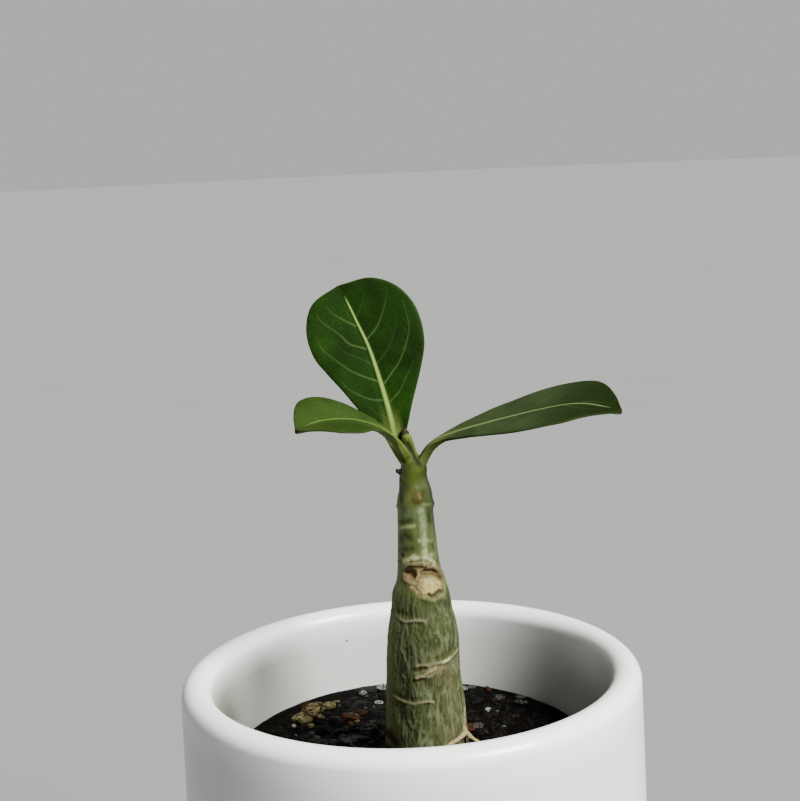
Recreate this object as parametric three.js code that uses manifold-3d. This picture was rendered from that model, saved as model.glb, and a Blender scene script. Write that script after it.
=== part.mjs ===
// Potted desert rose: a glazed planter, its soil, a young thick stem with three leaves, and loose chips.
// Millimetres, +Z up. The pot's axis is Z and its foot stands on z = 0.
// The planting is drawn from the middle of the pot's rim: x right, y away from the front, z up.

import * as THREE from 'three';
import { ConvexGeometry } from 'three/addons/geometries/ConvexGeometry.js';
import { mergeVertices } from 'three/addons/utils/BufferGeometryUtils.js';
import Module from 'manifold-3d';

// Driving dimensions
const potHeight = 92;
const potRadius = 50;
const potBelly = 50.4;
const rimRounding = 3.3;
const floorThickness = 7;
const bottomCorner = 5;
const footOuter = 44;
const footInner = 38;
const footRecess = 1.5;
const seatGap = 0.3;

const soilDepth = 21.8;
const soilTilt = { x: -0.013, y: 0.063 };
const soilMound = { height: 1.0, reach: 13 };

const bladeThickness = 0.7;
const petioleBulge = { above: 0.55, below: 0.95, length: 13 };

const roundSteps = 48;
const stemSteps = 40;
const stemRows = 60;
const barkRidges = 10;

// How many stretches of the stem's line lie in the soil, and how many make its tip
const rootStretches = 5;
const tipStretches = 9;
const leafColumns = 5;
const leafRows = 20;

// The pot's inner wall, from under the rim to the floor: radius, height under the rim
const innerWall = [[43.4, -3.3], [41.3, -22], [40.2, -45], [38.8, -72], [37.2, -82]];
const innerCorner = 4;

// The stem's middle line and radius, from the root's tip to the growing tip: x, y, z, radius
const stemLine = [
  [1.0, 0.5, -62, 1.3], [1.2, 0.5, -50, 3.2], [1.9, 0.4, -36, 6.4], [2.7, 0.2, -25, 9.25],
  [2.84, 0, -18.5, 9.3], [2.88, 0, -12.5, 8.95], [2.89, 0, -7, 8.5], [2.68, 0, -2, 8.08],
  [2.92, 0, 4, 7.9], [3.05, 0, 9, 7.48], [2.92, 0.1, 13, 6.62], [2.92, 0.4, 16.5, 6.15],
  [3.1, 0.8, 19.2, 5.35], [2.86, 1.2, 21.6, 4.75], [2.66, 1.4, 24.5, 4.36], [2.62, 1.4, 29, 4.12],
  [2.54, 1.4, 33.5, 3.9], [2.55, 1.3, 36.6, 3.86], [2.64, 1.1, 39.2, 3.44], [2.36, 0.8, 42.0, 3.0],
  [2.57, 0.6, 43.9, 2.86], [2.45, 0.55, 45.2, 2.6], [1.95, 0.5, 46.4, 2.05], [1.7, 0.45, 47.7, 1.6],
  [1.58, 0.4, 48.85, 1.4], [1.41, 0.3, 50.05, 1.17], [1.36, 0.3, 51.0, 0.92], [1.34, 0.3, 51.5, 0.3],
];

// Ring-shaped leaf scars on the bark: height, tilt round the stem, where they face, how far they reach
const ringScars = [
  { z: 11.8, tilt: 0.0, facing: -128, reach: 52, height: 0.3 },
  { z: 2.6, tilt: 0.5, facing: -60, reach: 42, height: 0.4 },
  { z: -0.2, tilt: 1.2, facing: -86, reach: 20, height: 0.35 },
  { z: -6.4, tilt: 0.0, facing: -130, reach: 50, height: 0.35 },
  { z: 38.3, tilt: 0.0, facing: -78, reach: 30, height: 0.3 },
  { z: 32.0, tilt: 0.2, facing: -120, reach: 30, height: 0.15 },
  { z: 29.0, tilt: 0.1, facing: -66, reach: 30, height: 0.15 },
];

// The old cut on the stem: a crust over two hollows, and the callus below them
const cutForms = [
  { facing: -90, z: 25.2, wide: 50, tall: 1.2, height: 0.6 },
  { facing: -116, z: 21.9, wide: 16, tall: 1.5, height: -1.0 },
  { facing: -62, z: 22.1, wide: 26, tall: 1.3, height: -1.2 },
  { facing: -70, z: 19.2, wide: 30, tall: 2.0, height: 0.8 },
  { facing: -58, z: 17.2, wide: 18, tall: 0.7, height: -0.5 },
];

// Thin rootlets that leave the stem's base, the dry stub near the top and the tuft by the tip: x, y, z, radius
const sideShoots = [
  [
    [10.4, -3.4, -13.4, 0.8], [11.1, -4.2, -14.3, 0.62], [9.7, -6.3, -14.8, 0.5], [8.0, -7.8, -15.3, 0.45],
    [6.6, -8.7, -16.0, 0.42], [5.2, -9.5, -18.0, 0.4], [4.8, -9.8, -24.5, 0.35],
  ],
  [
    [10.4, -3.4, -13.4, 0.8], [11.4, -4.3, -14.5, 0.6], [12.8, -5.2, -15.5, 0.46], [13.9, -5.8, -16.2, 0.4],
    [15.6, -6.6, -18.2, 0.36], [16.8, -7.4, -24.5, 0.32],
  ],
  [[1.4, 0.2, 42.9, 1.1], [0.3, 0.0, 43.1, 0.95], [-0.6, -0.1, 43.5, 0.6], [-1.3, -0.2, 43.85, 0.22]],
  [[1.2, 0.9, 49.0, 0.85], [0.95, 1.0, 50.6, 0.95], [0.95, 1.1, 51.8, 0.8], [1.1, 1.2, 52.6, 0.25]],
];

// Each leaf: the rib's line in space, the blade's side direction at base and tip, the fold of its halves
// in degrees, the wave of its margin, and the two margins as length along the rib and width from it
const leaves = {
  leaf_upright: {
    rib: [
      [1.2, 1.0, 44.8], [-0.8, 1.8, 49.0], [-1.8, 2.5, 54.7], [-3.2, 3.3, 60.7],
      [-5.6, 4.5, 69.2], [-8.3, 5.5, 75.7], [-11.2, 6.4, 82.4],
    ],
    side: [[-1, 0, 0], [-0.95, 0, -0.3]],
    fold: 6,
    wave: 0.2,
    margins: [
      [
        [0, 1.2], [6, 1.9], [12.2, 5.4], [18.5, 8.1], [24.5, 10.6],
        [30, 11.6], [35.7, 10.4], [39.9, 6.8], [41.1, 0.3],
      ],
      [
        [0, 1.2], [6, 2.3], [12, 5.0], [18, 8.6], [24, 11.7],
        [30, 12.7], [35.5, 11.1], [39.6, 6.7], [41, 0.3],
      ],
    ],
    color: 0x2c4a12,
  },
  leaf_left: {
    rib: [
      [1.7, -0.2, 45.2], [0.35, -0.9, 48.3], [-1.5, -2.05, 51.0], [-5.2, -5.0, 54.3],
      [-10.2, -9.2, 56.7], [-16.1, -14.2, 57.6], [-20.9, -18.2, 56.8],
    ],
    side: [[0.235, -0.95, -0.2], [0.69, -0.65, -0.33]],
    fold: 9,
    wave: 0.15,
    margins: [
      [
        [0, 1.1], [5, 1.2], [9.5, 2.6], [14, 4.6], [18.5, 6.7],
        [23, 8.6], [27.1, 7.6], [30.6, 3.5], [33.8, 0.3],
      ],
      [
        [0, 1.1], [5, 1.3], [9.5, 3.2], [14, 5.4], [18.3, 7.7],
        [23, 8.9], [27.4, 7.9], [31.1, 4.2], [33.8, 0.3],
      ],
    ],
    color: 0x506a24,
  },
  leaf_right: {
    rib: [
      [3.5, 0.3, 43.7], [4.7, -0.1, 46.3], [6.65, -1.0, 49.0], [10.2, -2.6, 51.2],
      [16.7, -6.1, 53.7], [28.8, -12.2, 57.5], [36.6, -16.2, 59.1], [44.1, -20.0, 58.2],
    ],
    side: [[0.1, 0.97, 0.25], [0.45, 0.85, 0.22]],
    fold: 5,
    wave: 0.12,
    margins: [
      [
        [0, 1.1], [7.5, 1.3], [14.5, 3.9], [21.5, 7.0], [28.5, 9.3],
        [35.5, 10.8], [42, 10.6], [46.8, 6.0], [50.4, 0.3],
      ],
      [
        [0, 1.1], [7.5, 1.3], [14.5, 4.4], [21.5, 7.3], [28.5, 9.8],
        [35.5, 11.4], [41.5, 10.2], [46, 5.0], [50.4, 0.3],
      ],
    ],
    color: 0x3d4f2c,
  },
};

// Loose bits on the soil: place on the soil, then length, width and height, and the turn in degrees
const chipKinds = {
  bark_chip: { color: 0x7a4a26, roughness: 0.85 },
  perlite: { color: 0xc9c6bc, roughness: 0.9 },
};
const chips = [
  ['bark_chip', -23.5, 25.0, 9.6, 5.6, 3.8, 52],
  ['bark_chip', -14.5, 22.6, 4.8, 3.2, 1.9, 0],
  ['bark_chip', 20.6, 29.5, 3.6, 2.4, 1.8, 30],
  ['bark_chip', 25.2, 26.4, 3.0, 2.2, 1.6, -35],
  ['bark_chip', 14.6, 13.2, 4.0, 2.8, 2.0, 15],
  ['bark_chip', -26.0, -8.0, 5.6, 3.4, 2.2, 70],
  ['bark_chip', 21.5, -18.0, 4.8, 3.0, 2.0, -60],
  ['bark_chip', -6.0, -27.0, 4.2, 2.8, 1.8, 10],
  ['perlite', -11.9, 35.6, 2.3, 2.0, 1.8, 0],
  ['perlite', -7.4, 37.6, 4.0, 2.8, 2.2, 20],
  ['perlite', -8.2, 30.4, 3.4, 2.0, 1.6, 10],
  ['perlite', 12.5, 36.2, 3.0, 2.0, 1.6, -10],
  ['perlite', 17.6, 22.8, 2.8, 2.2, 1.6, 35],
  ['perlite', -27.7, 17.6, 1.5, 1.3, 1.2, 0],
  ['perlite', 30.0, 2.0, 2.4, 1.9, 1.6, 50],
  ['perlite', 4.0, -31.0, 2.6, 2.2, 1.8, -40],
];

const crumbCount = 24;
const crumbSize = { least: 1.6, most: 3.6 };

// The first bark chip has a second, smaller lobe: its shift along x and y, and its share of the size
const secondLobe = { x: -2.8, y: -3.6, length: 0.55, width: 0.8, height: 0.8 };

// Solids from code: joins and cuts
const solids = await Module();
solids.setup();

function toSolid(geometry) {
  const bare = geometry.clone();
  bare.deleteAttribute('normal');
  bare.deleteAttribute('uv');
  const merged = mergeVertices(bare);
  return new solids.Manifold(new solids.Mesh({
    numProp: 3,
    vertProperties: merged.attributes.position.array,
    triVerts: Uint32Array.from(merged.index.array),
  }));
}

function toGeometry(solid) {
  const mesh = solid.getMesh();
  const geometry = new THREE.BufferGeometry();
  geometry.setAttribute('position', new THREE.BufferAttribute(mesh.vertProperties, 3));
  geometry.setIndex(new THREE.BufferAttribute(mesh.triVerts, 1));
  geometry.computeVertexNormals();
  return geometry;
}

// Scraps that a cut leaves loose are dropped
function largestBody(solid) {
  return solid.decompose().reduce((most, body) => (body.volume() > most.volume() ? body : most));
}

// A smooth line through rows of numbers, from the first row at 0 to the last at 1
function spline(rows, at) {
  const last = rows.length - 1;
  const place = THREE.MathUtils.clamp(at, 0, 1) * last;
  const k = Math.min(Math.floor(place), last - 1);
  const f = place - k;
  return rows[0].map((_, i) => {
    const b = rows[k][i];
    const c = rows[k + 1][i];
    const a = k > 0 ? rows[k - 1][i] : 2 * b - c;
    const d = k + 2 <= last ? rows[k + 2][i] : 2 * c - b;
    return 0.5 * (2 * b + (c - a) * f + (2 * a - 5 * b + 4 * c - d) * f * f + (3 * b - a - 3 * c + d) * f ** 3);
  });
}

// A closed skin over rings of points, with a fan on the first and the last ring
// From the column given, each quad is split the other way
function loft(rings, otherWayFrom = Infinity) {
  const count = rings[0].length;
  const positions = [];
  const triangles = [];
  for (const ring of rings) {
    for (const point of ring) {
      positions.push(point.x, point.y, point.z);
    }
  }
  for (let i = 0; i + 1 < rings.length; i += 1) {
    for (let j = 0; j < count; j += 1) {
      const a = i * count + j;
      const b = i * count + (j + 1) % count;
      const c = b + count;
      const d = a + count;
      if (j < otherWayFrom) {
        triangles.push(a, b, c, a, c, d);
      } else {
        triangles.push(a, b, d, b, c, d);
      }
    }
  }
  const ends = [[rings[0], 0, true], [rings.at(-1), (rings.length - 1) * count, false]];
  for (const [ring, first, turned] of ends) {
    const middle = ring.reduce((sum, point) => sum.add(point), new THREE.Vector3()).divideScalar(count);
    const hub = positions.length / 3;
    positions.push(middle.x, middle.y, middle.z);
    for (let j = 0; j < count; j += 1) {
      const a = first + j;
      const b = first + (j + 1) % count;
      triangles.push(...(turned ? [b, a, hub] : [a, b, hub]));
    }
  }
  const geometry = new THREE.BufferGeometry();
  geometry.setAttribute('position', new THREE.Float32BufferAttribute(positions, 3));
  geometry.setIndex(triangles);
  geometry.computeVertexNormals();
  return geometry;
}

// Even random numbers from a seed
function seeded(seed) {
  let state = seed;
  return () => {
    state = (state + 0x6d2b79f5) | 0;
    let t = Math.imul(state ^ (state >>> 15), 1 | state);
    t = (t + Math.imul(t ^ (t >>> 7), 61 | t)) ^ t;
    return ((t ^ (t >>> 14)) >>> 0) / 4294967296;
  };
}

function pieceMesh(name, geometry, color, roughness) {
  const material = new THREE.MeshStandardMaterial({ color, roughness, metalness: 0 });
  const mesh = new THREE.Mesh(geometry, material);
  mesh.name = name;
  return mesh;
}

// Pot: a turned profile from the middle of its underside, up the outside, over the rim and down inside
function arcPoints(centreR, centreZ, radius, fromDegrees, toDegrees, steps) {
  const points = [];
  for (let i = 0; i <= steps; i += 1) {
    const angle = THREE.MathUtils.degToRad(THREE.MathUtils.lerp(fromDegrees, toDegrees, i / steps));
    points.push([centreR + radius * Math.cos(angle), centreZ + radius * Math.sin(angle)]);
  }
  return points;
}

function potGeometry() {
  const floorTop = floorThickness;
  const rimMiddle = potRadius - rimRounding;
  const wallFoot = innerWall.at(-1)[0];
  const profile = [
    [0, footRecess],
    [footInner - 1, footRecess],
    [footInner, 0],
    [footOuter, 0],
    ...arcPoints(potRadius - 1 - bottomCorner, bottomCorner + 0.8, bottomCorner, -80, 0, 4),
    [potBelly, 30],
    [potBelly, 60],
    ...arcPoints(rimMiddle, potHeight - rimRounding, rimRounding, 0, 180, 8),
    ...innerWall.slice(1, -1).map(([r, z]) => [r, potHeight + z]),
    ...arcPoints(wallFoot - innerCorner, floorTop + innerCorner, innerCorner, 0, -90, 3),
    [0, floorTop],
  ];
  const points = profile.map(([r, z]) => new THREE.Vector2(r, z));
  return new THREE.LatheGeometry(points, roundSteps).rotateX(Math.PI / 2);
}

// Soil: a plug that fills the pot, with a tilted, lumpy top
function innerRadius(z) {
  const k = innerWall.findIndex((row, i) => i > 0 && row[1] <= z);
  const [fromR, fromZ] = innerWall[k - 1];
  const [toR, toZ] = innerWall[k];
  return THREE.MathUtils.mapLinear(z, fromZ, toZ, fromR, toR);
}

function soilTop(x, y) {
  const fromStem = Math.hypot(x - stemLine[4][0], y - stemLine[4][1]);
  const mound = soilMound.height * Math.exp(-((fromStem / soilMound.reach) ** 2));
  const lumps = 0.45 * Math.sin(0.52 * x + 1.1) * Math.cos(0.46 * y - 0.4)
    + 0.3 * Math.sin(0.95 * x - 0.7 * y + 2) + 0.22 * Math.cos(1.3 * y + 0.6 * x);
  const evened = 1 - 0.85 * THREE.MathUtils.smoothstep(Math.hypot(x, y), 33, 40);
  return -soilDepth + soilTilt.x * x + soilTilt.y * y + mound + lumps * evened;
}

function soilPlug() {
  const rings = [];
  const around = (radiusAt) => Array.from({ length: roundSteps }, (_, j) => {
    const angle = 2 * Math.PI * j / roundSteps;
    return radiusAt(Math.cos(angle), Math.sin(angle));
  });
  const floor = floorThickness - potHeight + seatGap;
  rings.push(around((c, s) => new THREE.Vector3(20 * c, 20 * s, floor)));
  for (const [r, z] of [[wallRadiusAtFloor(), floor], ...innerWall.slice(2, -1).reverse()]) {
    rings.push(around((c, s) => new THREE.Vector3((r - seatGap) * c, (r - seatGap) * s, z)));
  }
  const topRings = 13;
  for (let i = 0; i < topRings; i += 1) {
    rings.push(around((c, s) => {
      const guess = innerRadius(-soilDepth);
      const edge = innerRadius(soilTop(guess * c, guess * s)) - seatGap;
      const r = edge * (1 - i / topRings) ** 0.85;
      return new THREE.Vector3(r * c, r * s, soilTop(r * c, r * s));
    }));
  }
  return toSolid(loft(rings));
}

function wallRadiusAtFloor() {
  return innerWall.at(-1)[0] - innerCorner;
}

// Stem: rings on its middle line, with cracked bark, ring scars and the old cut raised by formula
function degreesApart(a, b) {
  return Math.abs(THREE.MathUtils.euclideanModulo(a - b + 180, 360) - 180);
}

function bell(distance, width) {
  return Math.exp(-((distance / width) ** 2));
}

function stemRelief(degrees, z) {
  const angle = THREE.MathUtils.degToRad(degrees);
  const bark = THREE.MathUtils.smoothstep(z, -24, -20) * (1 - THREE.MathUtils.smoothstep(z, 12, 20));
  let relief = 0.2 * bark * Math.cos(barkRidges * angle + 1.2 * Math.sin(0.45 * z));
  relief += 0.12 * bark * Math.sin(0.9 * z + 4 * angle);
  for (const scar of ringScars) {
    const swing = scar.tilt * (degrees - scar.facing) / 45;
    const along = bell(Math.max(0, degreesApart(degrees, scar.facing) - scar.reach), 12);
    relief += scar.height * along * bell(z - scar.z - swing, 0.8);
  }
  for (const form of cutForms) {
    relief += form.height * bell(degreesApart(degrees, form.facing), form.wide) * bell(z - form.z, form.tall);
  }
  return relief;
}

function stemRings(from, to, rows, sides, grow) {
  const rings = [];
  for (let i = 0; i <= rows; i += 1) {
    const [x, y, z, radius] = spline(stemLine, THREE.MathUtils.lerp(from, to, i / rows));
    rings.push(Array.from({ length: sides }, (_, j) => {
      const degrees = 360 * j / sides - 180;
      const r = radius + grow(degrees, z);
      const angle = THREE.MathUtils.degToRad(degrees);
      return new THREE.Vector3(x + r * Math.cos(angle), y + r * Math.sin(angle), z);
    }));
  }
  return rings;
}

function tube(rows, sides, steps, extra = 0) {
  const rings = [];
  for (let i = 0; i <= steps; i += 1) {
    const here = spline(rows, i / steps);
    const before = new THREE.Vector3(...spline(rows, i / steps - 0.5 / steps));
    const after = new THREE.Vector3(...spline(rows, i / steps + 0.5 / steps));
    const ahead = after.sub(before).normalize();
    const across = new THREE.Vector3(0, 1, 0).cross(ahead).normalize();
    const up = ahead.clone().cross(across);
    rings.push(Array.from({ length: sides }, (_, j) => {
      const angle = 2 * Math.PI * j / sides;
      return new THREE.Vector3(here[0], here[1], here[2])
        .addScaledVector(across, (here[3] + extra) * Math.cos(angle))
        .addScaledVector(up, (here[3] + extra) * Math.sin(angle));
    }));
  }
  return toSolid(loft(rings));
}

function stemSolid() {
  let solid = toSolid(loft(stemRings(0, 1, stemRows, stemSteps, stemRelief)));
  for (const shoot of sideShoots) {
    solid = solid.add(tube(shoot, 8, 7));
  }
  return solid;
}

// The room that the stem needs: the hole in the soil, and the seats of the leaves
function rootHole() {
  const surface = rootStretches / (stemLine.length - 1);
  let hole = toSolid(loft(stemRings(0, surface, 2 * rootStretches, 32, () => 2 * seatGap)));
  for (const shoot of sideShoots.slice(0, 2)) {
    hole = hole.add(tube(shoot, 8, 7, seatGap));
  }
  return hole;
}

function tipRoom() {
  const neck = 1 - tipStretches / (stemLine.length - 1);
  const room = toSolid(loft(stemRings(neck, 1, 3 * tipStretches, 20, () => seatGap)));
  return room.add(tube(sideShoots[2], 8, 7, seatGap)).add(tube(sideShoots[3], 8, 7, seatGap));
}

// Leaves: a blade bent along its rib, folded and waved, with the rib and stalk raised on both faces
function ribFrames(leaf) {
  const steps = 200;
  const frames = [];
  let length = 0;
  let before = null;
  for (let i = 0; i <= steps; i += 1) {
    const point = new THREE.Vector3(...spline(leaf.rib, i / steps));
    if (before) {
      length += point.distanceTo(before);
    }
    frames.push({ point, length });
    before = point;
  }
  return frames;
}

function bladePoint(leaf, frames, along, across, lift) {
  const total = frames.at(-1).length;
  const inside = THREE.MathUtils.clamp(along, 0, total - 1e-6);
  const k = frames.findIndex((frame) => frame.length > inside);
  const low = frames[k - 1];
  const high = frames[k];
  const ahead = high.point.clone().sub(low.point).normalize();
  const point = low.point.clone().lerp(high.point, (inside - low.length) / (high.length - low.length));
  point.addScaledVector(ahead, along - inside);
  const share = inside / total;
  const side = new THREE.Vector3(...leaf.side[0]).lerp(new THREE.Vector3(...leaf.side[1]), share);
  side.addScaledVector(ahead, -side.dot(ahead)).normalize();
  const face = ahead.clone().cross(side);
  const fold = Math.abs(across) * Math.tan(THREE.MathUtils.degToRad(leaf.fold));
  const wave = leaf.wave * Math.sin(0.42 * along + Math.sign(across)) * (across / 12) ** 2;
  return point.addScaledVector(side, across).addScaledVector(face, fold + wave - 0.002 * across ** 2 + lift);
}

function leafSolid(leaf) {
  const frames = ribFrames(leaf);
  const total = frames.at(-1).length;
  const rings = [];
  for (let i = 0; i <= leafRows; i += 1) {
    const share = i / leafRows;
    const margins = leaf.margins.map((margin) => spline(margin, share));
    const stalk = 1 - THREE.MathUtils.smoothstep(total * share, 0, petioleBulge.length);
    const rib = 0.35 + 0.65 * stalk;
    const row = (face) => Array.from({ length: 2 * leafColumns + 1 }, (_, j) => {
      const t = j / leafColumns - 1;
      const [marginAlong, width] = margins[t > 0 ? 0 : 1];
      const along = THREE.MathUtils.lerp(total * share, marginAlong, Math.abs(t));
      const bulge = face > 0 ? petioleBulge.above * stalk : petioleBulge.below * rib;
      const round = Math.max(0, 1 - (t * width / 1.6) ** 2);
      return bladePoint(leaf, frames, along, t * width, face * (bladeThickness / 2 + bulge * round));
    });
    rings.push([...row(1).reverse(), ...row(-1)]);
  }
  return toSolid(loft(rings, 2 * leafColumns + 1));
}

// Chips, grains and crumbs: hulls of seeded points on a rounded block
function lump(draw, length, width, height, points) {
  const cloud = Array.from({ length: points }, (_, i) => {
    const up = 1 - 2 * (i + 0.5) / points;
    const turn = i * 2.4 + 0.9 * draw();
    const out = Math.sqrt(1 - up * up);
    const size = 0.82 + 0.18 * draw();
    return new THREE.Vector3(
      size * out * Math.cos(turn) * length / 2,
      size * out * Math.sin(turn) * width / 2,
      size * up * height / 2,
    );
  });
  return new ConvexGeometry(cloud);
}

function placedLump(draw, x, y, length, width, height, turnDegrees, points, grow = 0) {
  const geometry = lump(draw, length, width, height, points);
  geometry.scale(1 + grow / length, 1 + grow / width, 1 + grow / height);
  geometry.rotateZ(THREE.MathUtils.degToRad(turnDegrees));
  return toSolid(geometry.translate(x, y, soilTop(x, y) + 0.22 * height));
}

function chipSolid([kind, x, y, length, width, height, turn], index, grow = 0) {
  const points = kind === 'bark_chip' ? 16 : 13;
  let solid = placedLump(seeded(100 + index), x, y, length, width, height, turn, points, grow);
  if (index === 0) {
    const lobe = [length * secondLobe.length, width * secondLobe.width, height * secondLobe.height];
    const [lobeX, lobeY] = [x + secondLobe.x, y + secondLobe.y];
    solid = solid.add(placedLump(seeded(99), lobeX, lobeY, ...lobe, turn, points, grow));
  }
  return solid;
}

// Crumbs grow out of the soil, clear of the stem, the wall and the loose bits
function soilSolid() {
  const draw = seeded(7);
  let solid = soilPlug();
  let made = 0;
  while (made < crumbCount) {
    const angle = 2 * Math.PI * draw();
    const radius = 37 * Math.sqrt(draw());
    const size = THREE.MathUtils.lerp(crumbSize.least, crumbSize.most, draw());
    const x = radius * Math.cos(angle);
    const y = radius * Math.sin(angle);
    const nearStem = Math.hypot(x - stemLine[4][0], y - stemLine[4][1]) < 15 + size;
    const nearChip = chips.some(([, cx, cy, length]) => Math.hypot(x - cx, y - cy) < (length + size) / 2 + 0.5);
    if (!nearStem && !nearChip) {
      solid = solid.add(placedLump(draw, x, y, size, size * 0.8, size * 0.7, 360 * draw(), 9));
      made += 1;
    }
  }
  solid = solid.subtract(rootHole());
  for (const [index, chip] of chips.entries()) {
    solid = solid.subtract(chipSolid(chip, index, 2 * seatGap));
  }
  return largestBody(solid);
}

// The whole part
const plantedPot = new THREE.Group();
plantedPot.add(pieceMesh('pot', potGeometry(), 0xe9e8e4, 0.2));

const planting = new THREE.Group();
planting.position.z = potHeight;
plantedPot.add(planting);
planting.add(pieceMesh('soil', toGeometry(soilSolid()), 0x17130f, 0.7));
planting.add(pieceMesh('stem', toGeometry(stemSolid()), 0x6b7446, 0.7));

const seat = tipRoom();
for (const [name, leaf] of Object.entries(leaves)) {
  planting.add(pieceMesh(name, toGeometry(leafSolid(leaf).subtract(seat)), leaf.color, 0.4));
}

const made = {};
for (const [index, chip] of chips.entries()) {
  const [kind] = chip;
  made[kind] = (made[kind] ?? 0) + 1;
  const { color, roughness } = chipKinds[kind];
  planting.add(pieceMesh(`${kind}_${made[kind]}`, toGeometry(chipSolid(chip, index)), color, roughness));
}

export default plantedPot;
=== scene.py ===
# %% [markdown]
# # A young desert rose in a white planter
#
# The plant is one thick, cracked stem with three leaves, rooted in dark soil in a glazed pot.
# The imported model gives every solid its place. Each piece below is drawn again, finer, in that same
# place: the leaves with veins, the bark with furrows, the soil with crumbs.
# All working sizes are millimetres from the middle of the pot's rim: x right, y away, z up.

# %% The frame
import math

import bmesh
import bpy
import numpy as np
from mathutils import Matrix, Vector, noise


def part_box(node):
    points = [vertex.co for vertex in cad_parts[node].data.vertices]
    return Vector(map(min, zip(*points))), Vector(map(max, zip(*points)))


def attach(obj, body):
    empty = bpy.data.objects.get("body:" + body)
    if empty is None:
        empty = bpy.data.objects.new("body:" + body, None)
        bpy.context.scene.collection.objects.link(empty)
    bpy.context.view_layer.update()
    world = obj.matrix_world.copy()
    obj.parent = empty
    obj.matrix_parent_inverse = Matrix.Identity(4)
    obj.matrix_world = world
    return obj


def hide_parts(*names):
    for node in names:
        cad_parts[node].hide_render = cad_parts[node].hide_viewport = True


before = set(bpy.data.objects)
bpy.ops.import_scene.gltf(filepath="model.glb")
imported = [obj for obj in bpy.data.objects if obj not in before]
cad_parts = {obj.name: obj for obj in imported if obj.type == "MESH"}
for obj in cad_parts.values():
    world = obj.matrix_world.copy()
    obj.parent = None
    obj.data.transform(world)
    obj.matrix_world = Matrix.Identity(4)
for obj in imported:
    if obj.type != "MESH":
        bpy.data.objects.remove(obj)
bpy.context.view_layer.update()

MM = 0.001
BODY = "root"
RIM_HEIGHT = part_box("pot")[1][2] / MM
print("rim height in mm:", round(RIM_HEIGHT, 2), "nodes:", len(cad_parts))

# %% [markdown]
# ## Small helpers
# Three helpers carry the whole file: a colour from its hex code, a shader node with its settings and
# links, and a closed skin over rings of points. A skin over rings is how a thrown pot, a stem and a
# leaf can all be made: only the rings differ.

# %% Colour and nodes
def linear(code):
    """An sRGB hex colour as linear red, green, blue and alpha."""
    parts = [int(code[i:i + 2], 16) / 255 for i in (1, 3, 5)]
    return [p / 12.92 if p <= 0.04045 else ((p + 0.055) / 1.055) ** 2.4 for p in parts] + [1.0]


def add_node(tree, kind, settings=None, values=None, links=None):
    """A node with its settings, the values of its inputs, and the outputs that feed it."""
    node = tree.nodes.new(kind)
    for name, value in (settings or {}).items():
        setattr(node, name, value)
    for name, value in (values or {}).items():
        node.inputs[name].default_value = value
    for name, source in (links or {}).items():
        tree.links.new(source, node.inputs[name])
    return node


def new_material(name, **values):
    """A material with one principled shader, its node tree and that shader."""
    material = bpy.data.materials.new(name)
    material.use_nodes = True
    shader = material.node_tree.nodes["Principled BSDF"]
    for key, value in values.items():
        shader.inputs[key.replace("_", " ")].default_value = value
    return material, material.node_tree, shader


def blend_colours(tree, share, first, second):
    """Two colours mixed by a share: each is a hex code or the output of a node."""
    node = add_node(tree, "ShaderNodeMix", {"data_type": "RGBA"})
    tree.links.new(share, node.inputs["Factor"])
    for socket, colour in zip([s for s in node.inputs if s.type == "RGBA"], (first, second)):
        if isinstance(colour, str):
            socket.default_value = linear(colour)
        else:
            tree.links.new(colour, socket)
    return [s for s in node.outputs if s.type == "RGBA"][0]


def stretch(tree, value, low, high, to_low=0.0, to_high=1.0):
    """A value moved from one span to another, and held inside it."""
    node = add_node(tree, "ShaderNodeMapRange", values={
        "From Min": low, "From Max": high, "To Min": to_low, "To Max": to_high}, links={"Value": value})
    return node.outputs["Result"]


def mask(tree, name):
    """The share that the mesh carries under that name."""
    return add_node(tree, "ShaderNodeAttribute", {"attribute_name": name}).outputs["Fac"]


def noise_texture(tree, size_mm, detail=3.0, roughness=0.55, squash=(1, 1, 1)):
    """Noise in object space whose bumps are about size_mm apart."""
    place = add_node(tree, "ShaderNodeTexCoord").outputs["Object"]
    scaled = add_node(tree, "ShaderNodeMapping", values={"Scale": squash}, links={"Vector": place})
    return add_node(tree, "ShaderNodeTexNoise", values={
        "Scale": 1 / (size_mm * MM), "Detail": detail, "Roughness": roughness,
    }, links={"Vector": scaled.outputs["Vector"]}).outputs["Fac"]


def bump(tree, shader, height, depth_mm, strength=1.0):
    """Fine relief on the shader, depth_mm deep."""
    node = add_node(tree, "ShaderNodeBump", values={
        "Strength": strength, "Distance": depth_mm * MM}, links={"Height": height})
    tree.links.new(node.outputs["Normal"], shader.inputs["Normal"])


# %% Lines, noise and skins
def spline(rows, at):
    """Points on a smooth line through rows of numbers, from the first row at 0 to the last at 1."""
    rows = np.array(rows, float)
    rows = np.vstack([2 * rows[0] - rows[1], rows, 2 * rows[-1] - rows[-2]])
    place = np.clip(np.atleast_1d(at), 0, 1) * (len(rows) - 3)
    k = np.minimum(place.astype(int), len(rows) - 4)
    f = (place - k)[:, None]
    a, b, c, d = (rows[k + i] for i in range(4))
    return 0.5 * (2 * b + (c - a) * f + (2 * a - 5 * b + 4 * c - d) * f**2 + (3 * b - a - 3 * c + d) * f**3)


def smooth(value, low, high):
    """0 below low, 1 above high, and a soft step between them."""
    x = np.clip((np.asarray(value, float) - low) / (high - low), 0, 1)
    return x * x * (3 - 2 * x)


def bell(distance, width):
    """A soft hump, 1 in the middle."""
    return np.exp(-(np.asarray(distance, float) / width) ** 2)


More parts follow.
